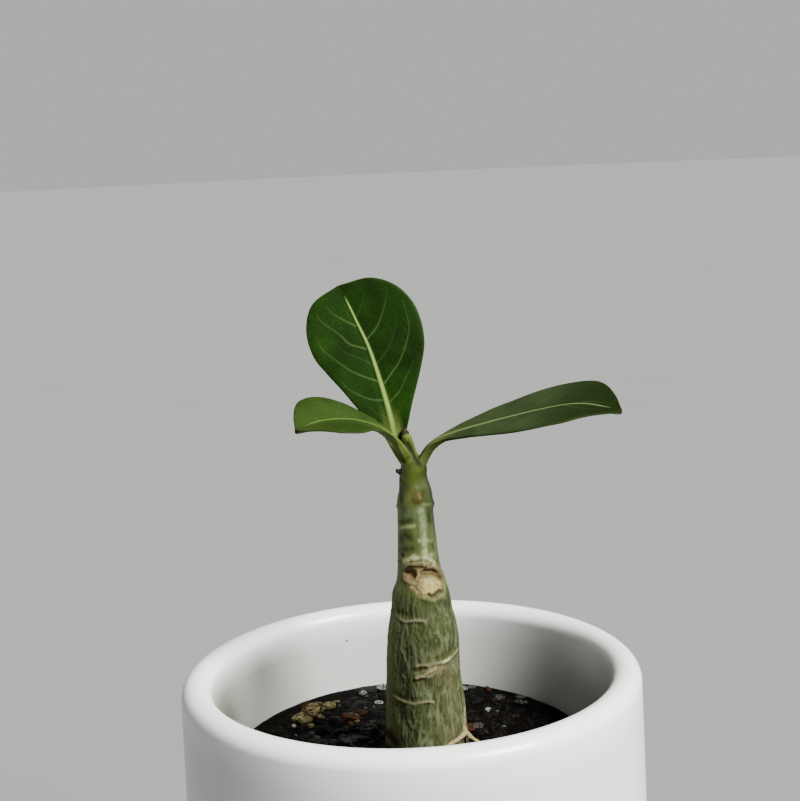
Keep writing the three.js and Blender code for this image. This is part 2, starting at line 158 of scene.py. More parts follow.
def grain(points, size, shift=0.0, octaves=1):
    """Smooth random values, about -1 to 1, whose bumps are about size millimetres apart."""
    total = np.zeros(len(points))
    for k in range(octaves):
        spots = np.asarray(points) * (2**k / size) + shift + 7.3 * k
        total += 0.5**k * np.array([noise.noise(Vector(spot)) for spot in spots])
    return total


def piece(name, points, faces, soft=True):
    """A mesh object from points in millimetres round the rim's middle."""
    mesh = bpy.data.meshes.new(name)
    placed = (np.asarray(points, float) + [0, 0, RIM_HEIGHT]) * MM
    mesh.from_pydata(placed.tolist(), [], faces)
    mesh.polygons.foreach_set("use_smooth", [soft] * len(mesh.polygons))
    mesh.update()
    made = bpy.data.objects.new(name, mesh)
    bpy.context.scene.collection.objects.link(made)
    return made


def skin_faces(rows, columns, first=0):
    """Quads between neighbouring rings, and one face on each end."""
    i, j = np.meshgrid(np.arange(rows - 1), np.arange(columns), indexing="ij")
    a = i * columns + j
    b = i * columns + (j + 1) % columns
    quads = np.stack([a, b, b + columns, a + columns], -1).reshape(-1, 4) + first
    start = [first + k for k in reversed(range(columns))]
    end = [first + (rows - 1) * columns + k for k in range(columns)]
    return quads.tolist() + [start, end]


def write_mask(made, name, values):
    """One number for each point of a piece, for its material to read."""
    attribute = made.data.attributes.new(name, "FLOAT", "POINT")
    attribute.data.foreach_set("value", np.asarray(values, np.float32))


triangle_counts = {}


def settle(made, material, slot, *nodes):
    """Gives a piece its material and its body, and hides the plain solids that it stands for. Its slot is
    not used.
    """
    made.data.materials.append(material)
    if nodes:
        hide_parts(*nodes)
    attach(made, BODY)
    low, high = (np.array(made.bound_box)[i] for i in (0, 6))
    triangle_counts[made.name] = len(made.data.loops) - 2 * len(made.data.polygons)
    size_mm = ((high - low) / MM).round(1).tolist()
    print(made.name, "triangles:", triangle_counts[made.name], "size in mm:", size_mm)


# %% [markdown]
# ## The camera
# The pot's rim is a circle, so the ellipses that it draws in the picture fix the camera: it stands
# about 350 mm away, looks down by about 10 degrees at the middle of the frame and leans a little.

# %% Camera
CAMERA_PLACE = (0.0, -329.7, 117.5)
CAMERA_AIM = (0.3, 0.0, 58.8)
CAMERA_LEAN = math.radians(-2.6)
LENS = 71.03

camera_data = bpy.data.cameras.new("camera")
camera_data.lens, camera_data.sensor_width = LENS, 36
camera = bpy.data.objects.new("camera", camera_data)
bpy.context.scene.collection.objects.link(camera)
place, aim = (Vector((x, y, z + RIM_HEIGHT)) * MM for x, y, z in (CAMERA_PLACE, CAMERA_AIM))
aimed = (aim - place).to_track_quat("-Z", "Y").to_matrix().to_4x4()
camera.matrix_world = Matrix.Translation(place) @ aimed @ Matrix.Rotation(CAMERA_LEAN, 4, "Z")
camera_data.clip_start, camera_data.clip_end = 0.01, 20
bpy.context.scene.camera = camera
print("camera is", round((aim - place).length / MM), "mm from its aim")

# %% [markdown]
# ## The planter
# A slip-cast stoneware cylinder: a thick wall, a fully rounded rim and a narrow foot ring. A lathe
# profile is the natural way to draw it, as it was turned or cast round an axis. The profile is the
# same as the solid's, with many more points, and a hair of unevenness that a glazed pot always has.

# %% Planter profile
POT_RADIUS, POT_BELLY, RIM_ROUND = 50.0, 50.4, 3.3
FLOOR_TOP, FOOT_RECESS, FOOT_INNER, FOOT_OUTER = 7.0, 1.5, 38.0, 44.0
BOTTOM_CORNER, INNER_CORNER = 5.0, 4.0
INNER_WALL = [(43.4, -3.3), (41.3, -22.0), (40.2, -45.0), (38.8, -72.0), (37.2, -82.0)]
UNEVENNESS = 0.12


def arc(centre_r, centre_z, radius, start, end, steps):
    """Points of a round stretch of the profile, by its angles in degrees."""
    turn = np.radians(np.linspace(start, end, steps))
    return np.stack([centre_r + radius * np.cos(turn), centre_z + radius * np.sin(turn)], -1)


def planter_profile():
    """Radius and height above the foot, from under the floor, up the outside and down inside."""
    outer = [(POT_RADIUS - 0.6, 9), (POT_BELLY - 0.1, 22), (POT_BELLY, 40), (POT_BELLY - 0.05, 62),
             (POT_RADIUS, RIM_HEIGHT - RIM_ROUND)]
    inner = [(r, z + RIM_HEIGHT) for r, z in INNER_WALL]
    return np.vstack([
        [(0.5, FOOT_RECESS), (20, FOOT_RECESS), (FOOT_INNER - 2, FOOT_RECESS), (FOOT_INNER - 0.8, 1.1)],
        [(FOOT_INNER, 0.25), (FOOT_INNER + 0.4, 0.0), (FOOT_OUTER - 0.6, 0.0), (FOOT_OUTER, 0.3)],
        arc(POT_RADIUS - 1 - BOTTOM_CORNER, BOTTOM_CORNER + 0.8, BOTTOM_CORNER, -75, -10, 10),
        spline(outer, np.linspace(0, 1, 22))[:-1],
        arc(POT_RADIUS - RIM_ROUND, RIM_HEIGHT - RIM_ROUND, RIM_ROUND, 0, 180, 26),
        spline(inner, np.linspace(0, 1, 30))[1:-1],
        arc(INNER_WALL[-1][0] - INNER_CORNER, FLOOR_TOP + INNER_CORNER, INNER_CORNER, 0, -88, 8),
        [(20, FLOOR_TOP), (0.5, FLOOR_TOP)],
    ])


profile = planter_profile()
POT_SIDES = 224
turns = np.linspace(0, 2 * np.pi, POT_SIDES, endpoint=False)
r, z = profile[:, :1], profile[:, 1:] - RIM_HEIGHT
planter_points = np.stack([r * np.cos(turns), r * np.sin(turns), z + 0 * turns], -1).reshape(-1, 3)
uneven = UNEVENNESS * grain(planter_points, 38, 2.0)
outwards = planter_points * [1, 1, 0] / np.linalg.norm(planter_points[:, :2], axis=1)[:, None]
planter_points = planter_points + outwards * uneven[:, None]
planter = piece("planter", planter_points, skin_faces(len(profile), POT_SIDES))

# Painted shade: the inner wall is painted a little darker, and darker still on its left side.
from_axis, depth = np.hypot(*planter_points[:, :2].T), -planter_points[:, 2]
inside = (from_axis < POT_RADIUS - RIM_ROUND) * smooth(depth, 1.0, 9.0) * (depth < 80)
cloudy = np.clip(0.9 + 0.4 * grain(planter_points, 14, 4.0), 0, 1)
write_mask(planter, "inside", inside)
write_mask(planter, "painted_shade_left", inside * smooth(-planter_points[:, 0], 22, 40) * cloudy)

# %% [markdown]
# ## Gloss white glaze on stoneware
# Fired glaze is a thin layer of glass: an IOR near 1.5, very smooth, and white because tin or
# zirconium clouds it. The eye reads it by its soft, slightly wavy reflections, so the roughness is
# low and a very shallow, wide bump bends them. The lip is painted whiter than the wall, a painted
# highlight where the lamp falls on the top, and the wall is cooler. Inside the pot the glaze is painted
# darker as painted shade. The foot ring is wiped bare before firing, and shows the pale, dull clay. One
# dark speck sits in the glaze of the back wall.

# %% Glaze
GLAZE_ROUGHNESS, CLAY_ROUGHNESS = 0.26, 0.8
SPECK = [v * MM for v in (-15.24, 39.78, RIM_HEIGHT - 7.2)]
glaze, tree, shader = new_material("gloss_white_glaze", IOR=1.5, Roughness=GLAZE_ROUGHNESS)
cloud = noise_texture(tree, 26, 2)
height = add_node(tree, "ShaderNodeSeparateXYZ", links={
    "Vector": add_node(tree, "ShaderNodeTexCoord").outputs["Object"]}).outputs["Z"]
glazed = stretch(tree, height, 1.8 * MM, 2.8 * MM)
wall = blend_colours(tree, cloud, "#D2D4D8", "#D8DADD")
# Painted highlight: the lip is whiter than the wall, where the lamp falls on the top.
lip_highlight = blend_colours(tree, cloud, "#EDEDEA", "#F2F2F0")
white = blend_colours(tree, stretch(tree, height, (RIM_HEIGHT - 9) * MM, (RIM_HEIGHT - 2) * MM), wall, lip_highlight)
distance = add_node(tree, "ShaderNodeVectorMath", {"operation": "DISTANCE"}, {1: SPECK}, {
    0: add_node(tree, "ShaderNodeTexCoord").outputs["Object"]}).outputs["Value"]
speck = stretch(tree, distance, 0.3 * MM, 0.55 * MM, 1.0, 0.0)
# Painted shade inside the pot, deeper on the left inner wall.
white = blend_colours(tree, mask(tree, "inside"), white, "#BFBFBA")
white = blend_colours(tree, mask(tree, "painted_shade_left"), white, "#5A5A4E")
colour = blend_colours(tree, glazed, "#C9BFB0", white)
colour = blend_colours(tree, speck, colour, "#2B2722")
tree.links.new(colour, shader.inputs["Base Color"])
dullness = stretch(tree, glazed, 0, 1, CLAY_ROUGHNESS, GLAZE_ROUGHNESS)
tree.links.new(dullness, shader.inputs["Roughness"])
bump(tree, shader, noise_texture(tree, 9, 2), 0.05, 0.5)
settle(planter, glaze, "glaze", "pot")

# %% [markdown]
# ## The soil
# The pot is filled to about 22 mm under the rim, a little higher at the back. The bed is one closed
# plug whose top follows the solid's own formula, with finer clods added by noise. Everything that
# lies on it is placed by the same formula, so nothing floats.

# %% Soil bed
SOIL_DEPTH, SOIL_TILT_X, SOIL_TILT_Y = 21.8, -0.013, 0.063
MOUND_HEIGHT, MOUND_REACH = 1.0, 13.0
STEM_FOOT = (2.86, 0.0)
SOIL_RINGS, SOIL_SIDES = 136, 420
WALL_GAP, FLOOR_GAP, EDGE_RADIUS = 0.12, 0.3, 41
PLUG_RINGS = [(33.0, FLOOR_TOP - RIM_HEIGHT + FLOOR_GAP), (38.5, -72.0), (39.9, -45.0), (40.9, -28.0)]


def lumps(x, y):
    """The solid's wide lumps, which die out towards the wall."""
    wave = 0.45 * np.sin(0.52 * x + 1.1) * np.cos(0.46 * y - 0.4)
    wave = wave + 0.3 * np.sin(0.95 * x - 0.7 * y + 2) + 0.22 * np.cos(1.3 * y + 0.6 * x)
    return wave * (1 - 0.85 * smooth(np.hypot(x, y), 33, 40))


def soil_top(x, y):
    """Height of the soil's surface, as the solid has it."""
    mound = MOUND_HEIGHT * bell(np.hypot(x - STEM_FOOT[0], y - STEM_FOOT[1]), MOUND_REACH)
    return -SOIL_DEPTH + SOIL_TILT_X * x + SOIL_TILT_Y * y + mound + lumps(x, y)


def inner_radius(z):
    """The pot's inside radius at a height."""
    radii, heights = np.array(INNER_WALL)[::-1].T
    return np.interp(z, heights, radii)


def clods(x, y):
    """Fine relief of the soil in millimetres; it also breaks up the even rows of the wide lumps."""
    flat = np.stack([x, y, 0 * x], -1)
    rough = 0.62 * grain(flat, 6.0, 1.0, 3) + 0.13 * np.abs(grain(flat, 1.3, 5.0, 2))
    return rough * (1 - 0.8 * smooth(np.hypot(x, y), 35, 40.5)) - 0.6 * lumps(x, y)


turns = np.linspace(0, 2 * np.pi, SOIL_SIDES, endpoint=False)
edge = inner_radius(soil_top(EDGE_RADIUS * np.cos(turns), EDGE_RADIUS * np.sin(turns))) - WALL_GAP
shares = np.linspace(1, 0.004, SOIL_RINGS)[:, None]
x, y = (shares * edge * wave(turns) for wave in (np.cos, np.sin))
flat_x, flat_y = x.ravel(), y.ravel()
top = (soil_top(flat_x, flat_y) + clods(flat_x, flat_y)).reshape(x.shape)
rings = [np.stack([x, y, top], -1)]
for radius, height in PLUG_RINGS:
    ring = np.stack([radius * np.cos(turns), radius * np.sin(turns), height + 0 * turns], -1)
    rings.insert(-1, ring[None])
soil_points = np.concatenate(rings).reshape(-1, 3)
soil_bed = piece("soil_bed", soil_points, skin_faces(SOIL_RINGS + len(PLUG_RINGS), SOIL_SIDES))

# %% [markdown]
# ## Damp potting mix
# Peat and composted bark, nearly black when wet. Water fills the pores, so the surface is dark and
# partly glossy: the roughness wanders between a wet film and dull fibre at the scale of a few
# millimetres, and small brown flecks of bark show in it.

# %% Soil material
soil_mix, tree, shader = new_material(
    "damp_potting_mix", IOR=1.36, Roughness=0.5, Specular_IOR_Level=0.06)
patches = noise_texture(tree, 5.5, 4, 0.6)
colour = blend_colours(tree, stretch(tree, patches, 0.35, 0.7), "#020201", "#070504")
flecks = stretch(tree, noise_texture(tree, 0.9, 2, 0.6), 0.66, 0.74)
colour = blend_colours(tree, flecks, colour, "#1B1209")
tree.links.new(colour, shader.inputs["Base Color"])
wet = noise_texture(tree, 7.5, 2, 0.5)
tree.links.new(stretch(tree, wet, 0.38, 0.62, 0.28, 0.8), shader.inputs["Roughness"])
bump(tree, shader, noise_texture(tree, 0.7, 4, 0.7), 0.35, 0.9)
settle(soil_bed, soil_mix, "soil", "soil")

# %% [markdown]
# ## Crumbs, fibres and specks
# A real bed of soil is loose grains, so some two thousand crumbs and clods are laid on it, each one a
# dented ball, sunk by half or more. Each kind is one mesh, which is quick to draw and to export.
# Their tone varies from black peat to brown bark, and thin fibres and white specks lie between.

# %% Crumb maker
def dented_balls(count, seed, small, large, subdivisions=2):
    """Shapes of a few dented balls: the points of each one, and the faces that they share."""
    ball = bmesh.new()
    bmesh.ops.create_icosphere(ball, subdivisions=subdivisions, radius=1)
    points = np.array([v.co[:] for v in ball.verts])
    faces = np.array([[v.index for v in f.verts] for f in ball.faces])
    ball.free()
    shapes = []
    for k in range(count):
        dents = 1 + small * grain(points, 0.9, seed + 11.0 * k) + large * grain(points, 1.9, seed + 5.0 * k)
        shapes.append(points * dents[:, None])
    return shapes, faces


def on_soil(x, y):
    """Height of the clods at one place."""
    return soil_top(x, y) + clods(np.array([x]), np.array([y]))[0]


def from_stem(x, y):
    """Distance from the stem's foot."""
    return np.hypot(x - STEM_FOOT[0], y - STEM_FOOT[1])


def scatter(name, count, seed, sizes, reach, sink, keep_clear=8.6, power=2.0):
    """Dented balls laid over the soil; each one's random tone is written on its points."""
    draw = np.random.default_rng(seed)
    shapes, faces = dented_balls(12, seed, 0.35, 0.5)
    points, all_faces, tones = [], [], []
    while len(points) < count:
        angle, radius = 2 * np.pi * draw.random(), reach * math.sqrt(draw.random())
        size = sizes[0] + (sizes[1] - sizes[0]) * draw.random() ** power
        flatness, turn = draw.uniform(0.55, 0.9), draw.random(3) * 6
        tone, shape = draw.random(), shapes[draw.integers(len(shapes))]
        x, y = radius * math.cos(angle), radius * math.sin(angle)
        if from_stem(x, y) < keep_clear:
            continue
        spin = np.array(Matrix.Rotation(turn[0], 3, "Z") @ Matrix.Rotation(0.5 * math.sin(turn[1]), 3, "X"))
        body = shape * [size / 2, size / 2 * draw.uniform(0.6, 1.0), size / 2 * flatness] @ spin.T
        all_faces.append(faces + len(points) * len(shape))
        points.append(body + [x, y, on_soil(x, y) + size * (0.5 - sink) * flatness])
        tones += [tone] * len(shape)
    made = piece(name, np.concatenate(points), np.concatenate(all_faces).tolist())
    write_mask(made, "tone", tones)
    return made


soil_crumbs = scatter("soil_crumbs", 1650, 21, (0.35, 1.7), 38.8, 0.66, power=3.0)
soil_clods = scatter("soil_clods", 430, 25, (1.6, 4.2), 37.5, 0.74, power=2.2, keep_clear=10.5)
bark_crumbs = scatter("bark_crumbs", 130, 22, (0.5, 1.7), 38.5, 0.5)
white_specks = scatter("white_specks", 45, 23, (0.3, 0.9), 38.5, 0.45, keep_clear=10)

# %% Fibres
def tube_points(line, radii, sides):
    """Rings round a line of points."""
    ahead = np.gradient(line, axis=0)
    ahead /= np.linalg.norm(ahead, axis=1, keepdims=True)
    across = np.cross([0.13, 0.97, 0.2], ahead)
    across /= np.linalg.norm(across, axis=1, keepdims=True)
    up = np.cross(ahead, across)
    turn = np.linspace(0, 2 * np.pi, sides, endpoint=False)[None, :, None]
    radii = np.asarray(radii, float)[:, None, None]
    ring = radii * (np.cos(turn) * across[:, None] + np.sin(turn) * up[:, None])
    return (line[:, None] + ring).reshape(-1, 3)


def fibres(name, count, seed):
    """Thin bent fibres that lie on the soil."""
    draw = np.random.default_rng(seed)
    points, faces, tones = [], [], []
    steps, sides = 10, 5
    for _ in range(count):
        angle, radius = 2 * np.pi * draw.random(), 38 * math.sqrt(draw.random())
        length, way, bend = draw.uniform(2, 9), 2 * np.pi * draw.random(), draw.normal(0, 0.5)
        turn = way + bend * np.linspace(-1, 1, steps)
        x = radius * math.cos(angle) + np.cumsum(np.cos(turn)) * length / steps
        y = radius * math.sin(angle) + np.cumsum(np.sin(turn)) * length / steps
        if np.hypot(x, y).max() > 40 or from_stem(x, y).min() < 10:
            continue
        arch = 0.25 + 0.35 * draw.random() * np.sin(np.linspace(0, np.pi, steps))
        z = soil_top(x, y) + clods(x, y) + arch
        radii = draw.uniform(0.06, 0.16) * np.linspace(1, 0.5, steps)
        faces += skin_faces(steps, sides, sum(len(p) for p in points))
        points.append(tube_points(np.stack([x, y, z], -1), radii, sides))
        tones += [draw.random()] * (steps * sides)
    made = piece(name, np.concatenate(points), faces)
    write_mask(made, "tone", tones)
    return made


soil_fibres = fibres("soil_fibres", 190, 24)

# %% Crumb materials
def toned_material(name, dark, light, roughness, bump_mm):
    """A dull material whose tone follows each crumb's own random number."""
    material, tree, shader = new_material(name, Roughness=roughness, Specular_IOR_Level=0.07)
    grainy = noise_texture(tree, 0.6, 3, 0.65)
    tone = blend_colours(tree, mask(tree, "tone"), dark, light)
    shade = blend_colours(tree, stretch(tree, grainy, 0.3, 0.75), dark, tone)
    tree.links.new(shade, shader.inputs["Base Color"])
    bump(tree, shader, noise_texture(tree, 0.4, 3, 0.7), bump_mm, 0.8)
    return material


settle(soil_crumbs, toned_material("peat_crumbs", "#030302", "#0B0805", 0.6, 0.2), "soil")
settle(soil_clods, toned_material("peat_clods", "#030201", "#090603", 0.65, 0.3), "soil")
settle(bark_crumbs, toned_material("bark_crumbs", "#0D0805", "#2A1A0E", 0.7, 0.2), "bark_chip")
settle(white_specks, toned_material("perlite_specks", "#2C2B27", "#54534D", 0.85, 0.15), "perlite")
settle(soil_fibres, toned_material("peat_fibres", "#0D0804", "#241A10", 0.7, 0.05), "soil")

# %% Larger loose bits
# Place on the soil, length, width and turn in degrees of the bits that catch the light.
LOOSE_BITS = {
    "grey": [
        (-23.3, 18.2, 1.9, 1.2, 20), (-23.3, 14.2, 1.1, 0.9, 60), (-22.1, 12.5, 1.3, 1.0, -30),
        (-17.3, 29.7, 1.0, 0.9, 0), (-15.6, 30.1, 1.2, 0.7, 10), (-10.9, 33.8, 0.8, 0.6, 0),
        (-9.4, 20.3, 1.4, 1.0, 15), (-11.2, 27.0, 1.5, 1.0, -40), (14.6, 37.4, 2.4, 1.2, -10),
        (19.6, 22.0, 1.1, 1.6, 70), (25.9, 30.6, 2.7, 1.3, -15), (24.6, 27.4, 1.0, 1.0, 0),
        (27.0, 27.4, 1.0, 1.2, 0), (20.8, 14.8, 1.0, 1.5, 80), (15.0, 13.9, 1.5, 1.1, 0),
    ],
    "brown": [
        (-8.9, 14.4, 1.4, 1.8, 0), (-25.4, 29.0, 3.2, 2.6, 50), (18.2, 35.5, 1.9, 2.2, 30),
        (13.4, 12.6, 2.2, 2.0, 20), (-12.6, 24.6, 3.2, 2.0, 5), (-17.0, 20.6, 1.8, 1.4, -20),
    ],
    "tan": [
        (-14.6, 23.6, 1.3, 0.9, 0), (-13.2, 20.2, 1.5, 1.0, 30), (-25.6, 20.6, 3.2, 2.8, 30),
        (-22.0, 22.9, 2.6, 1.8, -10), (-18.3, 31.6, 1.6, 1.0, 10), (-24.2, 18.4, 1.9, 1.6, 0),
        (-20.0, 28.6, 3.6, 2.8, 10),
    ],
    "rust": [
        (-15.7, 22.6, 2.4, 1.9, 0), (-13.4, 22.4, 2.8, 2.2, 20), (-14.6, 19.6, 1.9, 1.6, 60),
        (13.2, 14.2, 2.6, 2.4, 0),
    ],
}


def loose_bits(name, kind, seed):
    """The listed bits of one kind as dented balls, half sunk in the soil."""
    shapes, faces = dented_balls(9, seed, 0.3, 0.55, 3)
    points, all_faces = [], []
    for k, (x, y, length, width, turn) in enumerate(LOOSE_BITS[kind]):
        spin = np.array(Matrix.Rotation(math.radians(turn), 3, "Z"))
        body = shapes[k % len(shapes)] * [length / 2, width / 2, width / 3] @ spin.T
        all_faces.append(faces + k * len(body))
        points.append(body + [x, y, on_soil(x, y) + 0.08 * width])
    made = piece(name, np.concatenate(points), np.concatenate(all_faces).tolist())
    write_mask(made, "tone", 0.5 + 0.5 * grain(np.concatenate(points), 0.9, 3.0, 2))
    return made


# Kind, seed and slot, then the finish: name, dark and light tone, roughness and bump in mm.
BIT_FINISHES = [
    ("grey", 31, "perlite", ("grey_perlite_bits", "#20211D", "#585951", 0.85, 0.12)),
    ("tan", 32, "bark_chip", ("tan_bark_bits", "#3A321D", "#867D58", 0.8, 0.14)),
    ("rust", 34, "bark_chip", ("bright_rust_bark_bits", "#221005", "#6B421E", 0.75, 0.14)),
    ("brown", 33, "bark_chip", ("rust_bark_bits", "#140A04", "#40240F", 0.75, 0.12)),
]
for kind, seed, slot, finish in BIT_FINISHES:
    settle(loose_bits(f"{kind}_bits", kind, seed), toned_material(*finish), slot)

# %% [markdown]
# ## Bark chips and perlite
# The larger loose bits are solids of their own, so each fine one starts from its solid's mesh: it is
# cut into small faces, rounded, and roughened along its own noise. That keeps it in its seat.

# %% Chips from their solids
ROUNDING_PASSES = 3
ALL_AXES = {"use_axis_x": True, "use_axis_y": True, "use_axis_z": True}


def roughened(node, name, dents, cuts=6):
    """A finer, dented copy of a small solid."""
    shape = bmesh.new()
    shape.from_mesh(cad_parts[node].data)
    bmesh.ops.subdivide_edges(shape, edges=shape.edges[:], cuts=cuts, use_grid_fill=True)
    for _ in range(ROUNDING_PASSES):
        bmesh.ops.smooth_vert(shape, verts=shape.verts[:], factor=0.5, **ALL_AXES)
    bmesh.ops.triangulate(shape, faces=shape.faces[:])
    shape.normal_update()
    points = np.array([v.co[:] for v in shape.verts]) / MM
    normals = np.array([v.normal[:] for v in shape.verts])
    faces = [[v.index for v in f.verts] for f in shape.faces]
    shape.free()
    points = points + normals * dents(points)[:, None] - [0, 0, RIM_HEIGHT]
    return piece(name, points, faces)


def bark_dents(points):
    """Bark splits in thin layers: long ridges, with a few deep nicks."""
    layered = grain(points * [1, 1, 2.6], 1.5, 4.0, 3)
    return 0.28 * layered - 0.25 * smooth(grain(points, 0.9, 9.0), 0.35, 0.6)


def perlite_dents(points):
    """Popped glass is full of small round pits."""
    pits = np.array([noise.voronoi(Vector(p / 0.75))[0][0] for p in points])
    return 0.12 * (pits - 0.5) + 0.12 * grain(points, 0.6, 2.0)


# %% Bark chip and perlite materials
def bark_chip_material(name, dark, middle, light):
    """Pine bark: rust brown layers, paler where a layer has split off."""
    material, tree, shader = new_material(name, Roughness=0.82)
    layers = noise_texture(tree, 1.5, 5, 0.65, squash=(1, 1, 2.4))
    colour = blend_colours(tree, stretch(tree, layers, 0.3, 0.55), dark, middle)
    colour = blend_colours(tree, stretch(tree, layers, 0.52, 0.72), colour, light)
    tree.links.new(colour, shader.inputs["Base Color"])
    bump(tree, shader, noise_texture(tree, 0.5, 4, 0.7), 0.25, 0.9)
    return material


tan_bark = bark_chip_material("split_tan_bark", "#33230F", "#66592F", "#9E946A")
rust_bark = bark_chip_material("rust_bark", "#150B03", "#42290A", "#6A5232")
dark_bark = bark_chip_material("dark_bark", "#0B0704", "#1D140C", "#3A3022")

perlite, tree, shader = new_material("popped_perlite", Roughness=0.9)
dust = noise_texture(tree, 0.9, 4, 0.65)
colour = blend_colours(tree, stretch(tree, dust, 0.32, 0.6), "#2E2E29", "#72736A")
tree.links.new(colour, shader.inputs["Base Color"])
bump(tree, shader, noise_texture(tree, 0.35, 3, 0.7), 0.2, 0.9)

# The first chip has two lobes and more faces of its own, so it needs fewer cuts.
bark_finishes = {1: tan_bark, 2: rust_bark}
for k in range(1, 9):
    chip = roughened(f"bark_chip_{k}", f"split_bark_{k}", bark_dents, 5 if k == 1 else 6)
    settle(chip, bark_finishes.get(k, dark_bark), "bark_chip", f"bark_chip_{k}")
    pale_grain = roughened(f"perlite_{k}", f"perlite_grain_{k}", perlite_dents)
    settle(pale_grain, perlite, "perlite", f"perlite_{k}")

# %% [markdown]
# ## The stem
# It grew as one piece: a swollen base in cracked grey-green bark, an old cut where the top was taken
# off, the younger smooth stem that grew on from behind it, and the growing tip. It is drawn as rings
# on its middle line, and everything on its surface is pushed in or out by formulas of height and
# angle. The same formulas write the masks that colour it, so relief and colour always agree.

# %% Stem line
# The middle of each ring, its height and its radius.
STEM_LINE = [
    (1.0, 0.5, -62, 1.3), (1.2, 0.5, -50, 3.2), (1.9, 0.4, -36, 6.4), (2.7, 0.2, -25, 9.25),
    (2.84, 0, -18.5, 9.3), (2.88, 0, -12.5, 8.95), (2.89, 0, -7, 8.5), (2.68, 0, -2, 8.08),
    (2.92, 0, 4, 7.9), (3.05, 0, 9, 7.48), (2.92, 0.1, 13, 6.62), (2.92, 0.4, 16.5, 6.15),
    (3.1, 0.8, 19.2, 5.35), (2.86, 1.2, 21.6, 4.75), (2.66, 1.4, 24.5, 4.36), (2.62, 1.4, 29, 4.12),
    (2.54, 1.4, 33.5, 3.9), (2.55, 1.3, 36.6, 3.86), (2.64, 1.1, 39.2, 3.44), (2.36, 0.8, 42.0, 3.0),
    (2.57, 0.6, 43.9, 2.86), (2.45, 0.55, 45.2, 2.6), (1.95, 0.5, 46.4, 2.05), (1.7, 0.45, 47.7, 1.6),
    (1.58, 0.4, 48.85, 1.4), (1.41, 0.3, 50.05, 1.17), (1.36, 0.3, 51.0, 0.92), (1.34, 0.3, 51.5, 0.3),
]
STEM_SIDES = 236
dense = spline(STEM_LINE, np.linspace(0, 1, 4000))
# Few rings in the soil, and the closest ones across the old cut
ring_heights = np.r_[np.linspace(-62, -26, 12), np.arange(-24.5, 15.5, 0.22), np.arange(15.5, 27, 0.14),
                     np.arange(27, 51.45, 0.21), 51.48]
stem_rows = np.stack([np.interp(ring_heights, dense[:, 2], dense[:, k]) for k in range(4)], -1)
STEM_ROWS = len(ring_heights)
degrees = np.tile(np.linspace(-180, 180, STEM_SIDES, endpoint=False), STEM_ROWS)
centre = np.repeat(stem_rows[:, :3], STEM_SIDES, axis=0)
radius = np.repeat(stem_rows[:, 3], STEM_SIDES)
heights = centre[:, 2]
outward = np.stack([np.cos(np.radians(degrees)), np.sin(np.radians(degrees)), 0 * degrees], -1)
bare = centre + outward * radius[:, None]
print("stem rows:", STEM_ROWS)

# %% [markdown]
# ## Drawing on the bark
# A scar is a line with a width, drawn on the unrolled bark by its degrees round the stem and its
# height, and a wound is a patch with an outline. Both are bent a little by noise, so that no edge
# is cleaner than a knife and weather leave it.

# %% Strokes and patches
# A patch never reaches further round the stem than this, in degrees from its middle.
PATCH_REACH = 110
wander_side = 0.16 * grain(bare, 1.3, 31.0, 2)
wander_up = 0.16 * grain(bare, 1.1, 57.0, 2)


def segments(rows):
    """Each surface point's distance in mm from each stretch of a drawn line, and how it lies to it."""
    rows = np.array(rows, float)
    for (deg_a, z_a), (deg_b, z_b) in zip(rows[:-1], rows[1:]):
        swing = np.radians((degrees - deg_a + 180) % 360 - 180) * radius + wander_side
        rise = heights - z_a + wander_up
        run = math.radians(deg_b - deg_a) * radius
        climb = z_b - z_a
        t = np.clip((swing * run + rise * climb) / (run**2 + climb**2 + 1e-9), 0, 1)
        yield np.hypot(swing - t * run, rise - t * climb), swing, rise, run, climb


def stroke(rows, width):
    """A soft line on the bark: 1 along its middle."""
    nearest = np.min([distance for distance, *_ in segments(rows)], axis=0)
    return bell(nearest, width)


def patch(rows, soft):
    """A soft-edged area on the bark: 1 inside its outline."""
    nearest = np.full(len(heights), 99.0)
    crossings = np.zeros(len(heights), bool)
    for distance, swing, rise, run, climb in segments(list(rows) + [rows[0]]):
        nearest = np.minimum(nearest, distance)
        spans = (rise < 0) != (rise < climb)
        with np.errstate(divide="ignore", invalid="ignore"):
            crossings ^= spans & (swing < run * rise / climb)
    middle = np.mean([angle for angle, _ in rows])
    own_side = np.abs((degrees - middle + 180) % 360 - 180) < PATCH_REACH
    return smooth(np.where(crossings & own_side, nearest, -nearest), -soft, soft)


